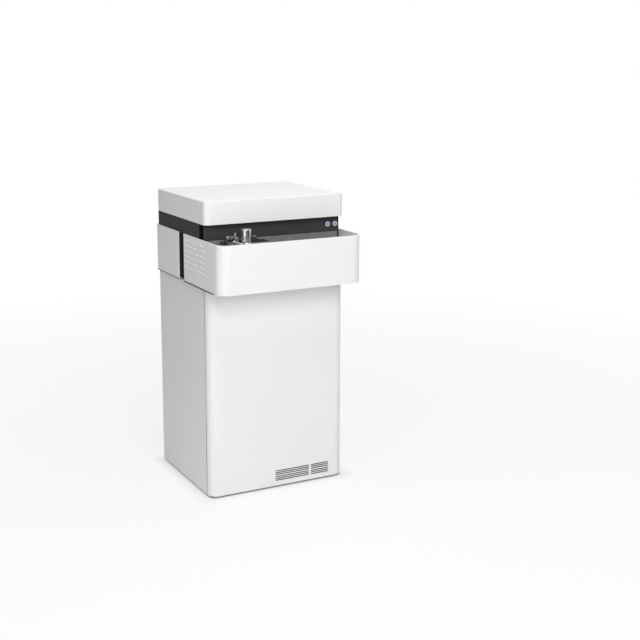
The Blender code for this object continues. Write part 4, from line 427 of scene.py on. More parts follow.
# Painted highlight: the lighter pewter of the thumb screw's cap stands in for light on its top.
pewter_highlight = worked_metal("pewter_cap", (0.40, 0.41, 0.34), 0.30, streak=0.08)
mark_white = specked("button_mark", (0.82, 0.84, 0.90), 0.30, 0.95)
# Painted shade: the thumb screw's dark green-black stands in for the shade and reflection round it.
thumb_shade_dark = grained("thumb_screw_shade_green_black", (0.060, 0.066, 0.052), 0.32, 800.0, 0.00004, 0.5)
bezel_navy = grained("navy_bezel", NAVY, 0.30, 700.0, 0.00003)


def two_tone_ring(node):
    """A bezel's finish: lavender up to its outer step, and navy beyond it."""
    finish = Finish(node + "_tones", LAVENDER, 0.28)
    middle = centre(node)
    spoke = finish.node("ShaderNodeVectorMath", {"operation": "LENGTH"},
                        finish.place((1, 0, 1), (-middle.x, 0, -middle.z)), output=1)
    step = finish.ramp(spoke * (1 / half_width(node)) - 0.5, (0.355, 0.0), (0.375, 1.0))
    cloud = finish.noise(60.0, detail=3.0)
    inside = finish.blend(cloud, shade(LAVENDER, 0.96), LAVENDER)
    finish.set("Base Color", finish.blend(step, inside, NAVY))
    finish.set("Roughness", 0.26 + cloud * 0.06)
    return finish


print("remaining finishes made")

# %% [markdown]
# ## Every solid gets its finish
#
# The solids came with one material slot each. A table of finish to names keeps the whole instrument in
# view, and a check at its end says if a name was forgotten. Each bezel has a finish made for its place.

# %% Dress the solids
wardrobe = {
    white_coat: "hood front_panel side_panel_left side_panel_right rear_panel collar_front collar_rear",
    white_inside: "deck_plate",
    charcoal: "fascia_front fascia_left fascia_right fascia_rear",
    painted_black: "upper_frame hood_pan upright_front_left upright_front_right "
                   "upright_rear_left upright_rear_right",
    # Dark grey tray: painted shade behind the slots.
    tray_shade_grey: "base_tray",
    channel_black: "channel_strip_left channel_strip_right",
    moulded_black: "light_tube slit_block fan_frame fan_rotor power_inlet mains_rocker",
    lens_blue: "button_start button_power",
    well_grey: "well_floor well_back",
    zinc: "shelf",
    chrome: "clamp_column clamp_arm plate_knob",
    satin: "clamp_lever",
    dark_plate: "spark_plate",
    aluminium: "stand_body chamber_lid grating_mount power_supply",
    cast_grey: "optical_chamber",
    tungsten: "electrode",
    ceramic: "electrode_insulator",
    knob_brown: "clamp_plunger",
    coated_glass: "grating",
    bottle: "exhaust_filter",
    rubber: "foot_front_left foot_front_right foot_rear_left foot_rear_right",
    brass: "argon_block gas_fitting",
    box_grey: "detector_rail readout_unit spark_source control_unit",
}
for name in ("bezel_start", "bezel_power"):
    wardrobe[two_tone_ring(name)] = name
dressed = set()
for finish, names in wardrobe.items():
    for name in names.split():
        data = nodes[name].data
        data.materials.clear()
        data.materials.append(finish.material)
        dressed.add(name)
print("dressed:", len(dressed), "left over:", sorted(set(nodes) - dressed))

# %% [markdown]
# ## How the small fittings are modelled
#
# Nearly all of the bright fittings are turned on a lathe, so one helper works like a lathe: it starts
# from a flat disc, and for each point of a profile it extrudes the top face and resizes it. A ring does
# the same with an open loop that ends where it began. A second helper eases the edges of a plain
# block, a third cuts one piece with another, and a fourth raises ribs on a turned side. Each finished
# piece has its place in its own mesh.

# %% Modelling helpers
SMOOTH_ANGLE = 32


def only(piece):
    """Leaves one piece selected and active."""
    bpy.ops.object.select_all(action="DESELECT")
    piece.select_set(True)
    bpy.context.view_layer.objects.active = piece


def turned(name, profile, steps=96, ring=False):
    """A piece turned round Z from its profile of radius and height."""
    radius, height = profile[0]
    fill = "NOTHING" if ring else "NGON"
    bpy.ops.mesh.primitive_circle_add(
        vertices=steps, radius=radius, fill_type=fill, location=(0, 0, height)
    )
    piece = bpy.context.object
    piece.name = name
    bpy.ops.object.transform_apply()
    bpy.ops.object.mode_set(mode="EDIT")
    for wide, high in profile[1:] + (profile[:1] if ring else []):
        bpy.ops.mesh.extrude_region_move(TRANSFORM_OT_translate={"value": (0, 0, high - height)})
        bpy.ops.transform.resize(value=(wide / radius, wide / radius, 1), center_override=(0, 0, high))
        radius, height = wide, high
    bpy.ops.mesh.select_all(action="SELECT")
    if ring:
        bpy.ops.mesh.remove_doubles(threshold=0.000002)
    bpy.ops.mesh.normals_make_consistent()
    bpy.ops.object.mode_set(mode="OBJECT")
    return piece


def milled(name, low, high, edge=0.0003, segments=2):
    """A block between two corners, with all its edges eased."""
    bpy.ops.mesh.primitive_cube_add(size=1, location=[(a + b) / 2 for a, b in zip(low, high)])
    piece = bpy.context.object
    piece.name = name
    piece.scale = [b - a for a, b in zip(low, high)]
    bpy.ops.object.transform_apply()
    bpy.ops.object.mode_set(mode="EDIT")
    bpy.ops.mesh.bevel(offset=edge, segments=segments, affect="EDGES")
    bpy.ops.object.mode_set(mode="OBJECT")
    return piece


def carved(piece, cutter):
    """The piece less the cutter, which is then thrown away."""
    only(piece)
    cut = piece.modifiers.new("cut", "BOOLEAN")
    cut.object = cutter
    cut.operation = "DIFFERENCE"
    bpy.ops.object.modifier_apply(modifier=cut.name)
    bpy.data.objects.remove(cutter)
    return piece


def ribbed(piece, low, high, depth, every=3):
    """Raises some columns of a turned piece's side faces, between two heights, as grip ribs."""
    only(piece)
    bpy.ops.object.mode_set(mode="EDIT")
    bpy.ops.mesh.select_all(action="DESELECT")
    bpy.ops.mesh.select_mode(type="FACE")
    mesh = bmesh.from_edit_mesh(piece.data)
    side = [f for f in mesh.faces if abs(f.normal.z) < 0.1 and low < f.calc_center_median().z < high]
    side.sort(key=lambda f: math.atan2(f.normal.y, f.normal.x))
    for index, face in enumerate(side):
        face.select_set(index % every == 0)
    bmesh.update_edit_mesh(piece.data)
    bpy.ops.mesh.extrude_region_shrink_fatten(TRANSFORM_OT_shrink_fatten={"value": depth})
    bpy.ops.mesh.select_mode(type="VERT")
    bpy.ops.object.mode_set(mode="OBJECT")
    return piece


def settled(piece, place, turn=(0, 0, 0)):
    """Turns a piece by degrees and moves it, both inside its mesh."""
    only(piece)
    piece.rotation_euler = [math.radians(value) for value in turn]
    piece.location = place
    bpy.ops.object.transform_apply()
    return piece


def copied(piece, name, place, turn=(0, 0, 0)):
    """Another piece of the same form, with its own mesh, elsewhere."""
    return settled(added(name, piece.data.copy()), place, turn)


def finished(piece, finish, body="cabinet", angle=SMOOTH_ANGLE):
    """Gives a piece its finish, smooths it up to an angle, and hangs it on a body."""
    piece.data.materials.clear()
    piece.data.materials.append(finish.material)
    only(piece)
    bpy.ops.object.shade_smooth_by_angle(angle=math.radians(angle))
    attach(piece, body)


def on_axis(piece, name, height=0):
    """Moves a turned piece onto the upright axis of a solid."""
    return settled(piece, (*centre(name).xy, height))


print("modelling helpers ready")

# %% [markdown]
# ## Bent sheet, shaded smooth
#
# The solids come as loose triangles, so each bend of the sheet shows as a row of flat strips. A copy of
# every bent or round piece gets its doubles merged and its bends shaded smooth, and stands for the
# solid. Normals weighted by area keep the flat faces flat right up to the bend.

# %% Smooth bends
def smoothed(node, body="cabinet", cutters=()):
    """A copy of a solid with smooth bends, less any cutters, which stands for it."""
    twin = added(node + "_smooth", nodes[node].data.copy())
    only(twin)
    bpy.ops.mesh.customdata_custom_splitnormals_clear()
    bpy.ops.object.mode_set(mode="EDIT")
    bpy.ops.mesh.select_all(action="SELECT")
    bpy.ops.mesh.remove_doubles(threshold=0.000001)
    bpy.ops.object.mode_set(mode="OBJECT")
    for cutter in cutters:
        carved(twin, cutter)
    only(twin)
    bpy.ops.object.shade_smooth_by_angle(angle=math.radians(SMOOTH_ANGLE))
    weighted = twin.modifiers.new("weighted", "WEIGHTED_NORMAL")
    weighted.keep_sharp = True
    bpy.ops.object.modifier_apply(modifier=weighted.name)
    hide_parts(node)
    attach(twin, body)


bent = "hood collar_front collar_rear well_floor spark_plate bezel_start bezel_power gas_fitting"
for name in bent.split():
    smoothed(name)
smoothed("clamp_lever", "lock_lever")
smoothed("fan_rotor", "rotor")
print("bends smoothed:", len(bent.split()) + 2)

# %% [markdown]
# ## The air slots
#
# The front panel's slots are punched in short lengths. From where the photograph was taken they read as
# long unbroken slots in two groups, wider than the lands between them. So the panel's copy has the
# narrow bridges cut away and its slots widened, by one slim block for each row of each group.

# %% Long slots
SLOT, LAND, BAND_PITCH, FIRST_SLOT = 0.0030, 0.0050, 0.0257, 0.0302
WIDENED = 0.0012
GROUPS = ((-0.0153, 0.1461), (0.1565, 0.2410))
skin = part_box("front_panel")[0][1]
cutters = []
for band in range(2):
    for row in range(3):
        bottom = FIRST_SLOT + band * BAND_PITCH + row * (SLOT + LAND)
        for left, right in GROUPS:
            cutters.append(milled("slot_cutter", (left - 0.0002, skin - 0.0010, bottom - WIDENED),
                                  (right + 0.0002, skin + 0.0028, bottom + SLOT + WIDENED), 0.00002, 1))
print("slots:", len(cutters))
smoothed("front_panel", cutters=cutters)

# %% [markdown]
# ## The clamp column
#
# The column is the brightest thing on the instrument: a hard-chromed post that carries the swing arm.
# A plain cylinder would give one dull stripe, so the turned form has what a lathe leaves: a relieved
# foot, a thin groove under the head, a rounded rim, and a counterbore with a socket screw that holds
# the post down. The screw comes first. Its six-sided socket is cut with a six-sided prism.

# %% Socket screws
def socket_screw(name, radius, height):
    """A cap screw's head, with its foot at the origin."""
    ease = radius * 0.12
    head = turned(name, [(radius, 0), (radius, height - ease), (radius - ease, height)], 48)
    hexagon = turned("hexagon", [(radius * 0.56, height * 0.4), (radius * 0.56, height * 1.3)], 6)
    return carved(head, hexagon)


print("socket screw ready")

# %% [markdown]
# ## The column's turned form
#
# The photograph shows the post a little lower than its solid, so the head is taken down by that much.
# All sizes are read from the solid's box, and the profile runs from the foot up to the counterbore.

# %% Column
LOWERED = 0.0022
SCREW_DEPTH = 0.0052
low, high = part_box("clamp_column")
shaft = half_width("clamp_column")
foot, head = low[2], high[2] - LOWERED
column_profile = [
    (shaft - 0.0010, foot), (shaft, foot + 0.0008), (shaft, head - 0.0066),
    (shaft - 0.0004, head - 0.0063), (shaft - 0.0004, head - 0.0056), (shaft, head - 0.0053),
    (shaft, head - 0.0011), (shaft - 0.0002, head - 0.0005), (shaft - 0.0006, head - 0.0001),
    (shaft - 0.0011, head), (0.0084, head), (0.0080, head - 0.0004), (0.0080, head - SCREW_DEPTH),
]
column = on_axis(turned("column_turned", column_profile, 128), "clamp_column")
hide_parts("clamp_column")
finished(column, column_chrome)
column_screw = on_axis(socket_screw("column_screw", 0.0064, 0.0042), "clamp_column", head - SCREW_DEPTH)
finished(column_screw, tungsten)
print("column", round(2000 * shaft, 1), "mm across,", round(1000 * (head - foot), 1), "mm tall")

# %% [markdown]
# ## The plunger's knob
#
# The sample is pressed down with a brown thermoset knob. Its side is ribbed for the fingers, its crown
# is slightly domed, and it sits on a dark bronze stem with a flat pad. Every third column of side faces
# is pushed out a few tenths of a millimetre, which gives soft ribs without a separate solid for each.

# %% Plunger
low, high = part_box("clamp_plunger")
grip = half_width("clamp_plunger")
knob_tall = 0.0125
crown, skirt = high[2], high[2] - knob_tall
knob_profile = [
    (grip - 0.0024, skirt), (grip - 0.0007, skirt + 0.0012), (grip - 0.0005, skirt + 0.0022),
    (grip - 0.0005, crown - 0.0044), (grip - 0.0008, crown - 0.0032), (grip - 0.0020, crown - 0.0015),
    (grip - 0.0040, crown - 0.0004), (grip * 0.42, crown), (grip * 0.36, crown - 0.0005),
]
knob = ribbed(turned("plunger_knob", knob_profile, 90), skirt + 0.0022, crown - 0.0044, 0.00045)
on_axis(knob, "clamp_plunger")
finished(knob, knob_brown, "plunger")
stem = turned("plunger_stem", [
    (0.0080, low[2]), (0.0085, low[2] + 0.0004), (0.0085, low[2] + 0.0016), (0.0081, low[2] + 0.0020),
    (0.0045, low[2] + 0.0020), (0.0045, skirt),
], 64)
on_axis(stem, "clamp_plunger")
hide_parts("clamp_plunger")
finished(stem, bronze_and_shade, "plunger")
print("knob", round(2000 * grip, 1), "mm across")

# %% [markdown]
# ## The plate's thumb screw
#
# A tall ribbed screw holds the spark plate down. It is made of two pieces with painted light and shade:
# a ribbed grip whose dark green-black is painted shade and reflection, and a pewter cap, lighter as a
# painted highlight on the top rim, with a chamfer that catches the light.

# %% Thumb screw
grip = half_width("plate_knob")
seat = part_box("spark_plate")[1][2] + 0.0003
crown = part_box("plate_knob")[1][2]
screw_profile = [
    (grip - 0.0020, seat), (grip - 0.0010, seat + 0.0008), (grip - 0.0006, seat + 0.0018),
    (grip - 0.0006, crown - 0.0048), (grip - 0.0012, crown - 0.0040), (grip - 0.0012, crown - 0.0034),
]
thumb = ribbed(turned("thumb_screw_grip", screw_profile, 90), seat + 0.0018, crown - 0.0048, 0.0005)
on_axis(thumb, "plate_knob")
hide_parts("plate_knob")
finished(thumb, thumb_shade_dark, "plate_screw")
cap_profile = [
    (grip - 0.0009, crown - 0.0034), (grip - 0.0001, crown - 0.0027), (grip - 0.0001, crown - 0.0010),
    (grip - 0.0009, crown), (grip * 0.72, crown), (grip * 0.64, crown - 0.0009),
]
cap = on_axis(turned("thumb_screw_cap", cap_profile, 96), "plate_knob")
finished(cap, pewter_highlight, "plate_screw")
print("thumb screw", round(1000 * (crown - seat), 1), "mm tall")

# %% [markdown]
# ## The two push-buttons
#
# Each button is a pale lavender ring round a slightly domed blue-grey lens, and a thin navy seal lies
# round its bezel. The left one starts a burn and has the usual start triangle, the right one switches
# the instrument and has the usual power sign. Both marks are thin raised shapes, so they stay crisp
# from close by. The pieces are turned upright, then laid over to face the front.

# %% Buttons
SEAL_WIDTH = 0.0036


def push_button(node, body):
    """The ring and lens of one button, which replace its solid, and the place of its mark."""
    low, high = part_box(node)
    middle = centre(node)
    rim = half_width(node)
    deep = high[1] - low[1]
    ring_profile = [
        (rim * 0.60, 0), (rim - 0.0001, 0), (rim - 0.0001, deep - 0.0006), (rim - 0.0003, deep - 0.0002),
        (rim - 0.0008, deep), (rim * 0.64, deep), (rim * 0.60, deep - 0.0004),
    ]
    ring = turned(node + "_ring", ring_profile, 72, ring=True)
    lens_profile = [
        (rim * 0.59, 0), (rim * 0.59, deep - 0.0009), (rim * 0.53, deep - 0.0006),
        (rim * 0.40, deep - 0.00035), (rim * 0.22, deep - 0.0002), (rim * 0.06, deep - 0.00015),
    ]
    lens = turned(node + "_lens", lens_profile, 72)
    place = (middle.x, high[1], middle.z)
    for piece, finish in ((ring, cap_lavender), (lens, lens_blue)):
        finished(settled(piece, place, (90, 0, 0)), finish, body)
    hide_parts(node)
    reach = half_width(node.replace("button", "bezel"))
    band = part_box("fascia_front")
    room = band[1][0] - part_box("bezel_power")[1][0] - 0.0003
    edge = reach + min(SEAL_WIDTH, room)
    seal_profile = [(reach + 0.0001, 0.0001), (edge, 0.0001), (edge - 0.0002, 0.0007),
                    (reach + 0.0003, 0.0009), (reach + 0.0001, 0.0007)]
    shadow_strip = turned(node + "_seal", seal_profile, 72, ring=True)
    finished(settled(shadow_strip, (middle.x, band[0][1], middle.z), (90, 0, 0)), bezel_navy)
    return Vector((middle.x, low[1] + 0.00008, middle.z)), rim


def mark(name, piece, place, body, turn=(90, 0, 0)):
    """A thin mark laid on a button's lens."""
    piece.name = name
    finished(settled(piece, place, turn), mark_white, body)


place, rim = push_button("button_start", "start_button")
arrow = turned("arrow", [(rim * 0.30, -0.0003), (rim * 0.30, 0.00005)], 3)
mark("start_mark", arrow, place, "start_button", (90, 90, 0))
place, rim = push_button("button_power", "power_button")
inner, outer = rim * 0.24, rim * 0.33
hoop_profile = [(inner, -0.0003), (outer, -0.0003), (outer, 0.00005), (inner, 0.00005)]
hoop = turned("hoop", hoop_profile, 48, ring=True)
gap = milled("gap", (-rim * 0.11, 0, -0.001), (rim * 0.11, rim, 0.001), 0.0001, 1)
mark("power_mark_arc", carved(hoop, gap), place, "power_button")
half = rim * 0.045
stroke = milled("stroke", (-half, rim * 0.10, -0.0003), (half, rim * 0.42, 0.00005), 0.00002, 1)
mark("power_mark_stroke", stroke, place, "power_button")
print("two buttons with their marks")

# %% [markdown]
# ## The spark plate's fittings
#
# Four low socket screws hold the plate to its stand, and a hard metal ring lines the aperture
# where the sparks strike. One screw is modelled and copied to the corners, each copy with its own mesh.

# %% Plate screws and aperture ring
low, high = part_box("spark_plate")
table = high[2]
plate_screw = socket_screw("plate_screw_0", 0.0042, 0.0007)
inset = 0.011
corners = [(x, y) for y in (low[1] + inset, high[1] - inset) for x in (low[0] + inset, high[0] - inset)]
for index, (x, y) in enumerate(corners[1:], 1):
    finished(copied(plate_screw, f"plate_screw_{index}", (x, y, table)), steel)
finished(settled(plate_screw, (*corners[0], table)), steel)
liner_profile = [(0.0060, table), (0.0105, table), (0.0105, table + 0.0002), (0.0102, table + 0.0003),
                 (0.0064, table + 0.0003), (0.0060, table + 0.0001)]
finished(on_axis(turned("aperture_liner", liner_profile, 96, ring=True), "clamp_plunger"), steel)
print("plate screws:", len(corners))

# %% [markdown]
# ## The swing arm
#
# The arm turns as one, but its parts are finished in different ways, so it is made of several pieces
# that ride together. A chromed ring turns round the column's foot. A slim web leads to the cup, which
# is turned as a full ring and then opened by a block, towards the side from which samples come. The web
# is dark bronze, whose darkness is also painted shade between the cup and the column. A dark bronze
# bridge guides the plunger, two ears hold the lever, and a satin handle points to the front.

# %% Arm
OPEN_TOWARDS = -27.5
RUNNING_GAP = 0.0005
WINDOW_HALF, SILL = 0.0190, 0.0028
arm_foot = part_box("clamp_arm")[0][2]
post = centre("clamp_column")
mouth = centre("clamp_plunger")
inner = shaft + RUNNING_GAP
ring_profile = [
    (inner, arm_foot), (inner + 0.0044, arm_foot), (inner + 0.0050, arm_foot + 0.0007),
    (inner + 0.0050, arm_foot + 0.0028), (inner + 0.0043, arm_foot + 0.0036), (inner, arm_foot + 0.0038),
]
arm_ring = on_axis(turned("arm_ring", ring_profile, 128, ring=True), "clamp_column")
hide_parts("clamp_arm")
finished(arm_ring, chrome, "swing_arm")
reach = math.hypot(mouth.x - post.x, mouth.y - post.y)
heading = math.degrees(math.atan2(mouth.y - post.y, mouth.x - post.x))
cup_wide, cup_inside, cup_tall = 0.0286, 0.0256, 0.0210
web_end = reach - cup_inside - 0.0010
# The web's dark bronze is partly painted shade between the cup and the column.
web = milled("arm_web", (shaft + 0.0030, -0.0040, 0), (web_end, 0.0040, 0.0034), 0.0008, 3)
finished(settled(web, (*post.xy, arm_foot + 0.0001), (0, 0, heading)), bronze_and_shade, "swing_arm")
cup_profile = [
    (cup_inside, 0.0004), (cup_inside + 0.0004, 0), (cup_wide - 0.0006, 0), (cup_wide, 0.0006),
    (cup_wide, cup_tall - 0.0022), (cup_wide - 0.0003, cup_tall - 0.0008),
    (cup_wide - 0.0010, cup_tall - 0.0001), (cup_wide - 0.0018, cup_tall),
    (cup_inside + 0.0003, cup_tall - 0.0004), (cup_inside, cup_tall - 0.0010),
]
cup = turned("arm_cup", cup_profile, 160, ring=True)
opening = milled("opening", (-WINDOW_HALF, -0.0400, SILL), (WINDOW_HALF, 0, 0.0300), 0.0010, 3)
carved(cup, settled(opening, (0, 0, 0), (0, 0, OPEN_TOWARDS)))
finished(settled(cup, (*mouth.xy, arm_foot)), ring_steel, "swing_arm")
span = cup_inside + 0.0010
bridge = milled("arm_bridge", (-span, -0.0080, 0.0055), (span, 0.0080, 0.0085), 0.0005, 2)
guide = turned("guide", [(0.0050, 0.0040), (0.0050, 0.0100)], 48)
carved(bridge, guide)
finished(settled(bridge, (*mouth.xy, arm_foot), (0, 0, heading)), bronze_and_shade, "swing_arm")
lift, neck, grip = 0.0050, 0.0036, 0.0046
rod_profile = [
    (neck, 0), (neck, 0.0060), (neck + 0.0004, 0.0074), (grip - 0.0003, 0.0096), (grip, 0.0110),
    (grip, 0.0730), (grip - 0.0006, 0.0746), (grip - 0.0016, 0.0757), (grip - 0.0028, 0.0760),
]
rod = turned("arm_handle", rod_profile, 64)
rod_start = (mouth.x - 0.0040, mouth.y - cup_wide - 0.0040, arm_foot + lift)
finished(settled(rod, rod_start, (90, 0, 0)), satin, "swing_arm")
socket = milled("arm_socket", (-0.0042, -0.0338, 0.0004), (0.0042, -0.0258, 0.0096), 0.0014, 3)
finished(settled(socket, (rod_start[0], mouth.y, arm_foot)), satin, "swing_arm")
pivot = centre("clamp_lever")
for index, side in enumerate((-1, 1)):
    near, far = side * 0.0036 - 0.0012, side * 0.0036 + 0.0012
    ear = milled(f"arm_ear_{index}", (-0.0025, near, 0), (0.0025, far, 0.0062), 0.0005)
    settled(ear, (*pivot.xy, arm_foot + cup_tall - 0.0012), (0, 0, heading - 90))
    finished(ear, ring_steel, "swing_arm")
print("arm reach", round(1000 * reach, 1), "mm")

# %% [markdown]
# ## Dark strips along the dark band, as painted shadow lines
#
# The dark band is set between the hood and the collar. Thin black rubber strips draw the fine black
# lines
# along its upper and lower edges: painted shadow lines, dark strips that stand in for the shade in the
# gaps there. Each is a narrow strip with eased edges, pressed against the outer face of a band panel,
# along X or
# Y. The same black strips lie under the collar's two sides, as a painted shadow line under its edge.

# %% Band and collar shadow strips, painted shade
COLLAR_SHADOW_STRIP_START = 0.0700
for panel, corner, along in (("front", 0, 0), ("left", 0, 1), ("right", 1, 1), ("rear", 1, 0)):
    low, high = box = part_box("fascia_" + panel)
    across = 1 - along
    face = box[corner][across]
    for name, bottom, tall in (("upper", high[2] - 0.0016, 0.0016), ("lower", low[2], 0.0020)):
        start, end = [0, 0, bottom], [0, 0, bottom + tall]
        start[along], end[along] = low[along] + 0.0012, high[along] - 0.0012
        start[across], end[across] = sorted((face, face + (0.0005 if face > 0 else -0.0005)))
        finished(milled(f"fascia_{panel}_{name}_seal", start, end, 0.0002, 1), rubber)
cabinet_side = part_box("side_panel_right")[1][0]
for node, setback in (("collar_front", COLLAR_SHADOW_STRIP_START), ("collar_rear", 0.0010)):
    low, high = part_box(node)
    for name, side in (("left", -1), ("right", 1)):
        xs = sorted((side * (high[0] - 0.0012), side * (cabinet_side + 0.0002)))
        # Black strip under the collar's side: a painted shadow line below its edge.
        strip = milled(f"{node}_lower_seal_{name}", (xs[0], low[1] + setback, low[2] - 0.0034),
                       (xs[1], high[1] - 0.0010, low[2] - 0.0002), 0.0003, 1)
        finished(strip, rubber)
print("band and collar seals made")

# %% [markdown]
# ## A dark mat behind the front slots, as painted shade
#
# Cooling air enters through the slots low on the front. Behind them lies a dark grey foam mat: painted
# shade, a dark sheet that stands in for the shade inside the cabinet, so the slots look grey and one
# can't see in.
# The mat has a coarse open-celled surface.

# %% Air filter mat, painted shade
MAT_X, MAT_Z = (-0.0210, 0.2470), (0.0260, 0.0790)
start, end = zip(MAT_X, (skin + 0.0026, skin + 0.0086), MAT_Z)
mat = milled("vent_shade_mat", start, end, 0.0010)
finished(mat, shade_foam)
print("filter mat made")

# %% [markdown]
# ## Corner posts
#
# At the two front corners the band is interrupted by a black extruded post, which runs from the well's
# floor up to the hood and carries it. The post stands a little behind the band's front and fills the
# space up to the band's side. Its outer face has a long groove, cut with a slim block.

# %% Posts
band_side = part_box("fascia_right")
band_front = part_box("fascia_front")
frame_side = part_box("upper_frame")[1][0]
post_low = (frame_side + 0.0003, band_front[1][1] + 0.0006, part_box("well_floor")[1][2] + 0.0003)
post_high = (band_side[1][0] + 0.0012, band_side[0][1] - 0.0003, band_side[1][2] - 0.0004)
for name, side in (("left", -1), ("right", 1)):
    xs = sorted((side * post_low[0], side * post_high[0]))
    post = milled("corner_post_" + name, (xs[0], *post_low[1:]), (xs[1], *post_high[1:]), 0.0008, 3)
    face = side * post_high[0]
    groove_x = sorted((face + side * 0.001, face - side * 0.0012))
    middle = (post_low[1] + post_high[1]) / 2
    groove = milled("groove", (groove_x[0], middle - 0.0020, post_low[2] - 0.001),
                    (groove_x[1], middle + 0.0020, post_high[2] + 0.001), 0.0002, 1)
    finished(carved(post, groove), painted_black)
print("two corner posts made")

# %% [markdown]
# ## Levelling feet
#
# Each foot is a ribbed rubber pad under a steel lock nut. The pad's ribs give it grip and catch a
# little light under the cabinet's shadow. The nut is turned with six sides.

# %% Feet
foot_names = ["foot_front_left", "foot_front_right", "foot_rear_left", "foot_rear_right"]
wide = half_width(foot_names[0])
pad_profile = [
    (wide - 0.0022, 0), (wide - 0.0008, 0.0003), (wide - 0.0004, 0.0010), (wide - 0.0004, 0.0048),
    (wide - 0.0016, 0.0062), (wide - 0.0050, 0.0070), (0.0125, 0.0070), (0.0118, 0.0076),
]
pad = ribbed(turned("foot_pad", pad_profile, 96), 0.0011, 0.0047, 0.0004, 2)
nut = turned("foot_nut", [(0.0092, 0.0070), (0.0100, 0.0076), (0.0100, 0.0118), (0.0092, 0.0125),
                          (0.0052, 0.0125), (0.0050, 0.0126), (0.0050, 0.0380)], 6)
for name in foot_names:
    spot = (*centre(name).xy, 0)
    rubber_pad = copied(pad, name + "_pad", spot)
    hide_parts(name)
    finished(rubber_pad, rubber)
    finished(copied(nut, name + "_nut", spot, (0, 0, 20)), steel, angle=20)
for spare in (pad, nut):
    bpy.data.objects.remove(spare)
print("feet:", len(foot_names))

# %% [markdown]
# ## The back
#
# The rear panel is the service side. Button-head screws run round its edge, and four more hold the
# fan. One screw is modelled, laid over to face the back, and copied, each copy with its own mesh.

# %% Rear panel screws
low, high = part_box("rear_panel")
back = high[1]
rear_screw = settled(socket_screw("rear_screw", 0.0046, 0.0022), (0, 0, 0), (-90, 0, 0))
inset = 0.014
columns = [low[0] + inset, (low[0] + high[0]) / 2, high[0] - inset]
tall = high[2] - low[2]
rows = [low[2] + inset, low[2] + tall * 0.34, low[2] + tall * 0.67, high[2] - inset]
spots = [(x, z) for x in columns for z in rows if x != columns[1] or z in (rows[0], rows[-1])]
fan = centre("fan_frame")
pitch = 0.0525
spots += [(fan.x + i * pitch, fan.z + k * pitch) for i in (-1, 1) for k in (-1, 1)]
for index, (x, z) in enumerate(spots):
    finished(copied(rear_screw, f"rear_screw_{index:02d}", (x, back, z)), steel)
bpy.data.objects.remove(rear_screw)
print("rear screws:", len(spots))

# %% [markdown]
# ## Inlets
#
# Three flat pins stand in the mains inlet's socket, short of its rim. The argon fitting's release
# collar is a turned ring with fine ribs, pushed over the tip.

# %% Mains pins and gas collar
SOCKET_MIDDLE = 0.0045 + 0.013
low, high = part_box("power_inlet")
rim = high[1]
socket_x = low[0] + SOCKET_MIDDLE
for index, (dx, dz) in enumerate(((-0.007, -0.002), (0.007, -0.002), (0, 0.003))):
    x, z = socket_x + dx, (low[2] + high[2]) / 2 + dz
    start, end = (x - 0.0010, rim - 0.0180, z - 0.0022), (x + 0.0010, rim - 0.0035, z + 0.0022)
    finished(milled(f"mains_pin_{index}", start, end), steel)
axis = centre("gas_fitting")
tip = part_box("gas_fitting")[1][1]
sleeve_profile = [(0.0030, 0), (0.0062, 0), (0.0074, 0.0008), (0.0076, 0.0050), (0.0070, 0.0058),
                  (0.0034, 0.0058), (0.0030, 0.0052)]
sleeve = ribbed(turned("gas_release_collar", sleeve_profile, 96, ring=True), 0.0009, 0.0049, 0.0002, 2)
finished(settled(sleeve, (axis.x, tip - 0.0062, axis.z), (-90, 0, 0)), moulded_black)
print("mains pins and gas collar made")

# %% [markdown]
# ## Floor and background
#
# The instrument stands on a pale floor that melts into a white background. The camera sees the floor
# mixed with plain white: not at all beneath the cabinet, so the gap there stays dark, by four fifths
# near it, and wholly some metres away, where no horizon should show.
#
# Chrome is only as good as what it mirrors. For mirror-like rays the floor and the room have bright and
# dim sectors round the instrument, which draw the upright stripes on the column. Each pair is a
# direction, as a part of the full turn, and the brightness there.

# %% Floor
FOOTPRINT_HALF = (0.320, 0.280)
FOOTPRINT_MIDDLE = 0.068
NEAR_WHITE = 0.80
ROOM_REACH = 5.0
SECTORS = (
    (0.00, 0.25), (0.24, 0.25), (0.265, 0.46), (0.365, 0.46), (0.40, 0.24), (0.49, 0.22),
    (0.52, 0.04), (0.61, 0.04), (0.64, 0.95), (0.94, 1.0), (0.97, 0.25), (1.00, 0.25),
)
bpy.ops.mesh.primitive_plane_add(size=90)
floor = bpy.context.object
floor.name = "floor"
pale = Finish("pale_floor", (0.90, 0.90, 0.90), 0.9, Specular_IOR_Level=0.0)
grit = pale.noise(3.0)
pale.set("Base Color", pale.blend(grit, (0.895, 0.895, 0.895), (0.905, 0.905, 0.905)))
where = pale.place()
far = pale.node("ShaderNodeVectorMath", {"operation": "LENGTH"}, where, output=1) * (1 / ROOM_REACH)
fade = pale.ramp(far, (0.15, 0.0), (0.80, 1.0))
rays = pale.tree.nodes.new("ShaderNodeLightPath").outputs
seen = Wire(pale, rays["Is Camera Ray"])
glossy = Wire(pale, rays["Is Glossy Ray"])


def around(finish, point):
    """The studio's brightness in a direction, from 0 to 1, for mirror-like metal."""
    x, y = finish.parts(point)[:2]
    turn = x.math("ARCTAN2", x, y * -1.0)
    return finish.ramp(turn * (0.5 / math.pi) + 0.5, *SECTORS)


glow = pale.node("ShaderNodeEmission", None, Color=(1, 1, 1))
mirror_glow = pale.node("ShaderNodeEmission", None, Color=around(pale, where))


def over(finish, amount, under, top):
    """A Mix Shader of two shaders."""
    return finish.node("ShaderNodeMixShader", None, amount, under, top)


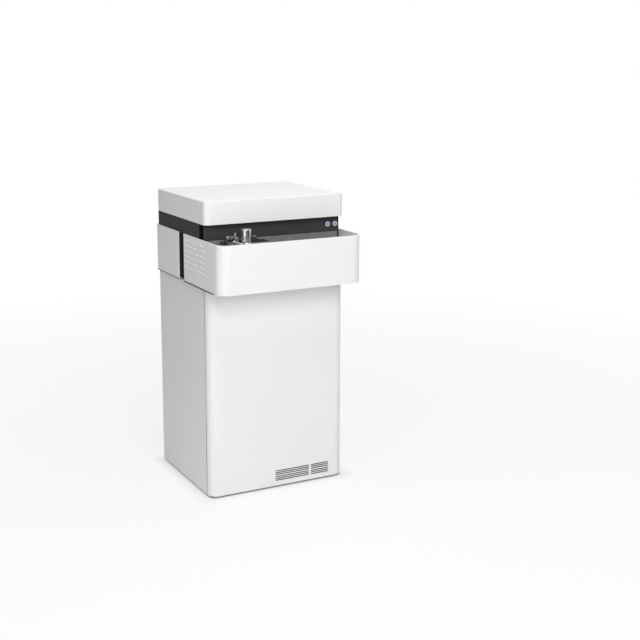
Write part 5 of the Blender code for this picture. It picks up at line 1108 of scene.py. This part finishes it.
lit = Wire(pale, pale.shader.outputs[0])
sideways, backwards = pale.parts(where)[:2]
across = abs(sideways) * (0.5 / FOOTPRINT_HALF[0])
along = abs(backwards - FOOTPRINT_MIDDLE) * (0.5 / FOOTPRINT_HALF[1])
beside = across.math("MAXIMUM", across, along)
contact = pale.ramp(beside, (0.47, 0.0), (0.50, 0.55), (0.58, 1.0))
for_camera = over(pale, seen * contact * (NEAR_WHITE + fade * (1 - NEAR_WHITE)), lit, glow)
for_metal = over(pale, glossy * pale.ramp(far, (0.10, 0.0), (0.50, 1.0)), for_camera, mirror_glow)
pale.plug(pale.tree.nodes["Material Output"].inputs["Surface"], for_metal)
floor.data.materials.append(pale.material)
print("floor made")

# %% [markdown]
# ## The room
#
# The world gives the room's even light. The camera sees it as plain white, and polished metal sees the
# same sectors as in the floor.

# %% World
WORLD_LEVEL = 0.22
world = bpy.data.worlds.new("studio")
world.use_nodes = True
bpy.context.scene.world = world


class Sky(Finish):
    """The world's nodes, which take the same calls as a material's."""

    def __init__(self, tree):
        self.tree = tree


sky = Sky(world.node_tree)
background = sky.tree.nodes["Background"]
sky.plug(background.inputs["Color"], (1, 1, 1))
sky.plug(background.inputs["Strength"], WORLD_LEVEL)
room = Wire(sky, background.outputs[0])
direction = sky.node("ShaderNodeTexCoord", output="Generated")
studio = sky.node("ShaderNodeBackground", None, Color=around(sky, direction))
backdrop = sky.node("ShaderNodeBackground", None, Color=(1, 1, 1))
rays = sky.tree.nodes.new("ShaderNodeLightPath").outputs
metal_view = over(sky, Wire(sky, rays["Is Glossy Ray"]), room, studio)
whole_view = over(sky, Wire(sky, rays["Is Camera Ray"]), metal_view, backdrop)
sky.plug(sky.tree.nodes["World Output"].inputs["Surface"], whole_view)
print("world made")

# %% [markdown]
# ## Lamps
#
# Three large soft lamps model the form over the room's even light. The strongest stands high in front,
# to the right of the camera, so the front is bright and the left side falls about a stop darker. A
# weaker one stands low on the left, and grazes the stamped louvres so that they show as bright dots.
# The third hangs overhead and lights the hood's top and the well. All are big rectangles of light,
# because a small lamp would cut hard shadows that the photograph hasn't got.

# %% Lamps
TARGET = (0, 0, 0.7)


def soft_lamp(name, place, size, power):
    """A rectangle of light that faces the instrument, with its power in watts."""
    data = bpy.data.lights.new(name, "AREA")
    data.shape = "RECTANGLE"
    data.size, data.size_y = size
    data.energy = power
    lamp = added(name, data)
    lamp.location = place
    lamp.rotation_euler = (Vector(TARGET) - Vector(place)).to_track_quat("-Z", "Y").to_euler()


soft_lamp("front_lamp", (-0.9, -4.2, 3.2), size=(2.4, 2.4), power=126)
soft_lamp("left_lamp", (-3.9, -2.1, 1.3), size=(1.2, 2.2), power=26)
soft_lamp("top_lamp", (0.2, -0.4, 4.2), size=(3.0, 3.0), power=66)
bpy.context.scene.view_settings.view_transform = "Standard"
print("lamps made")
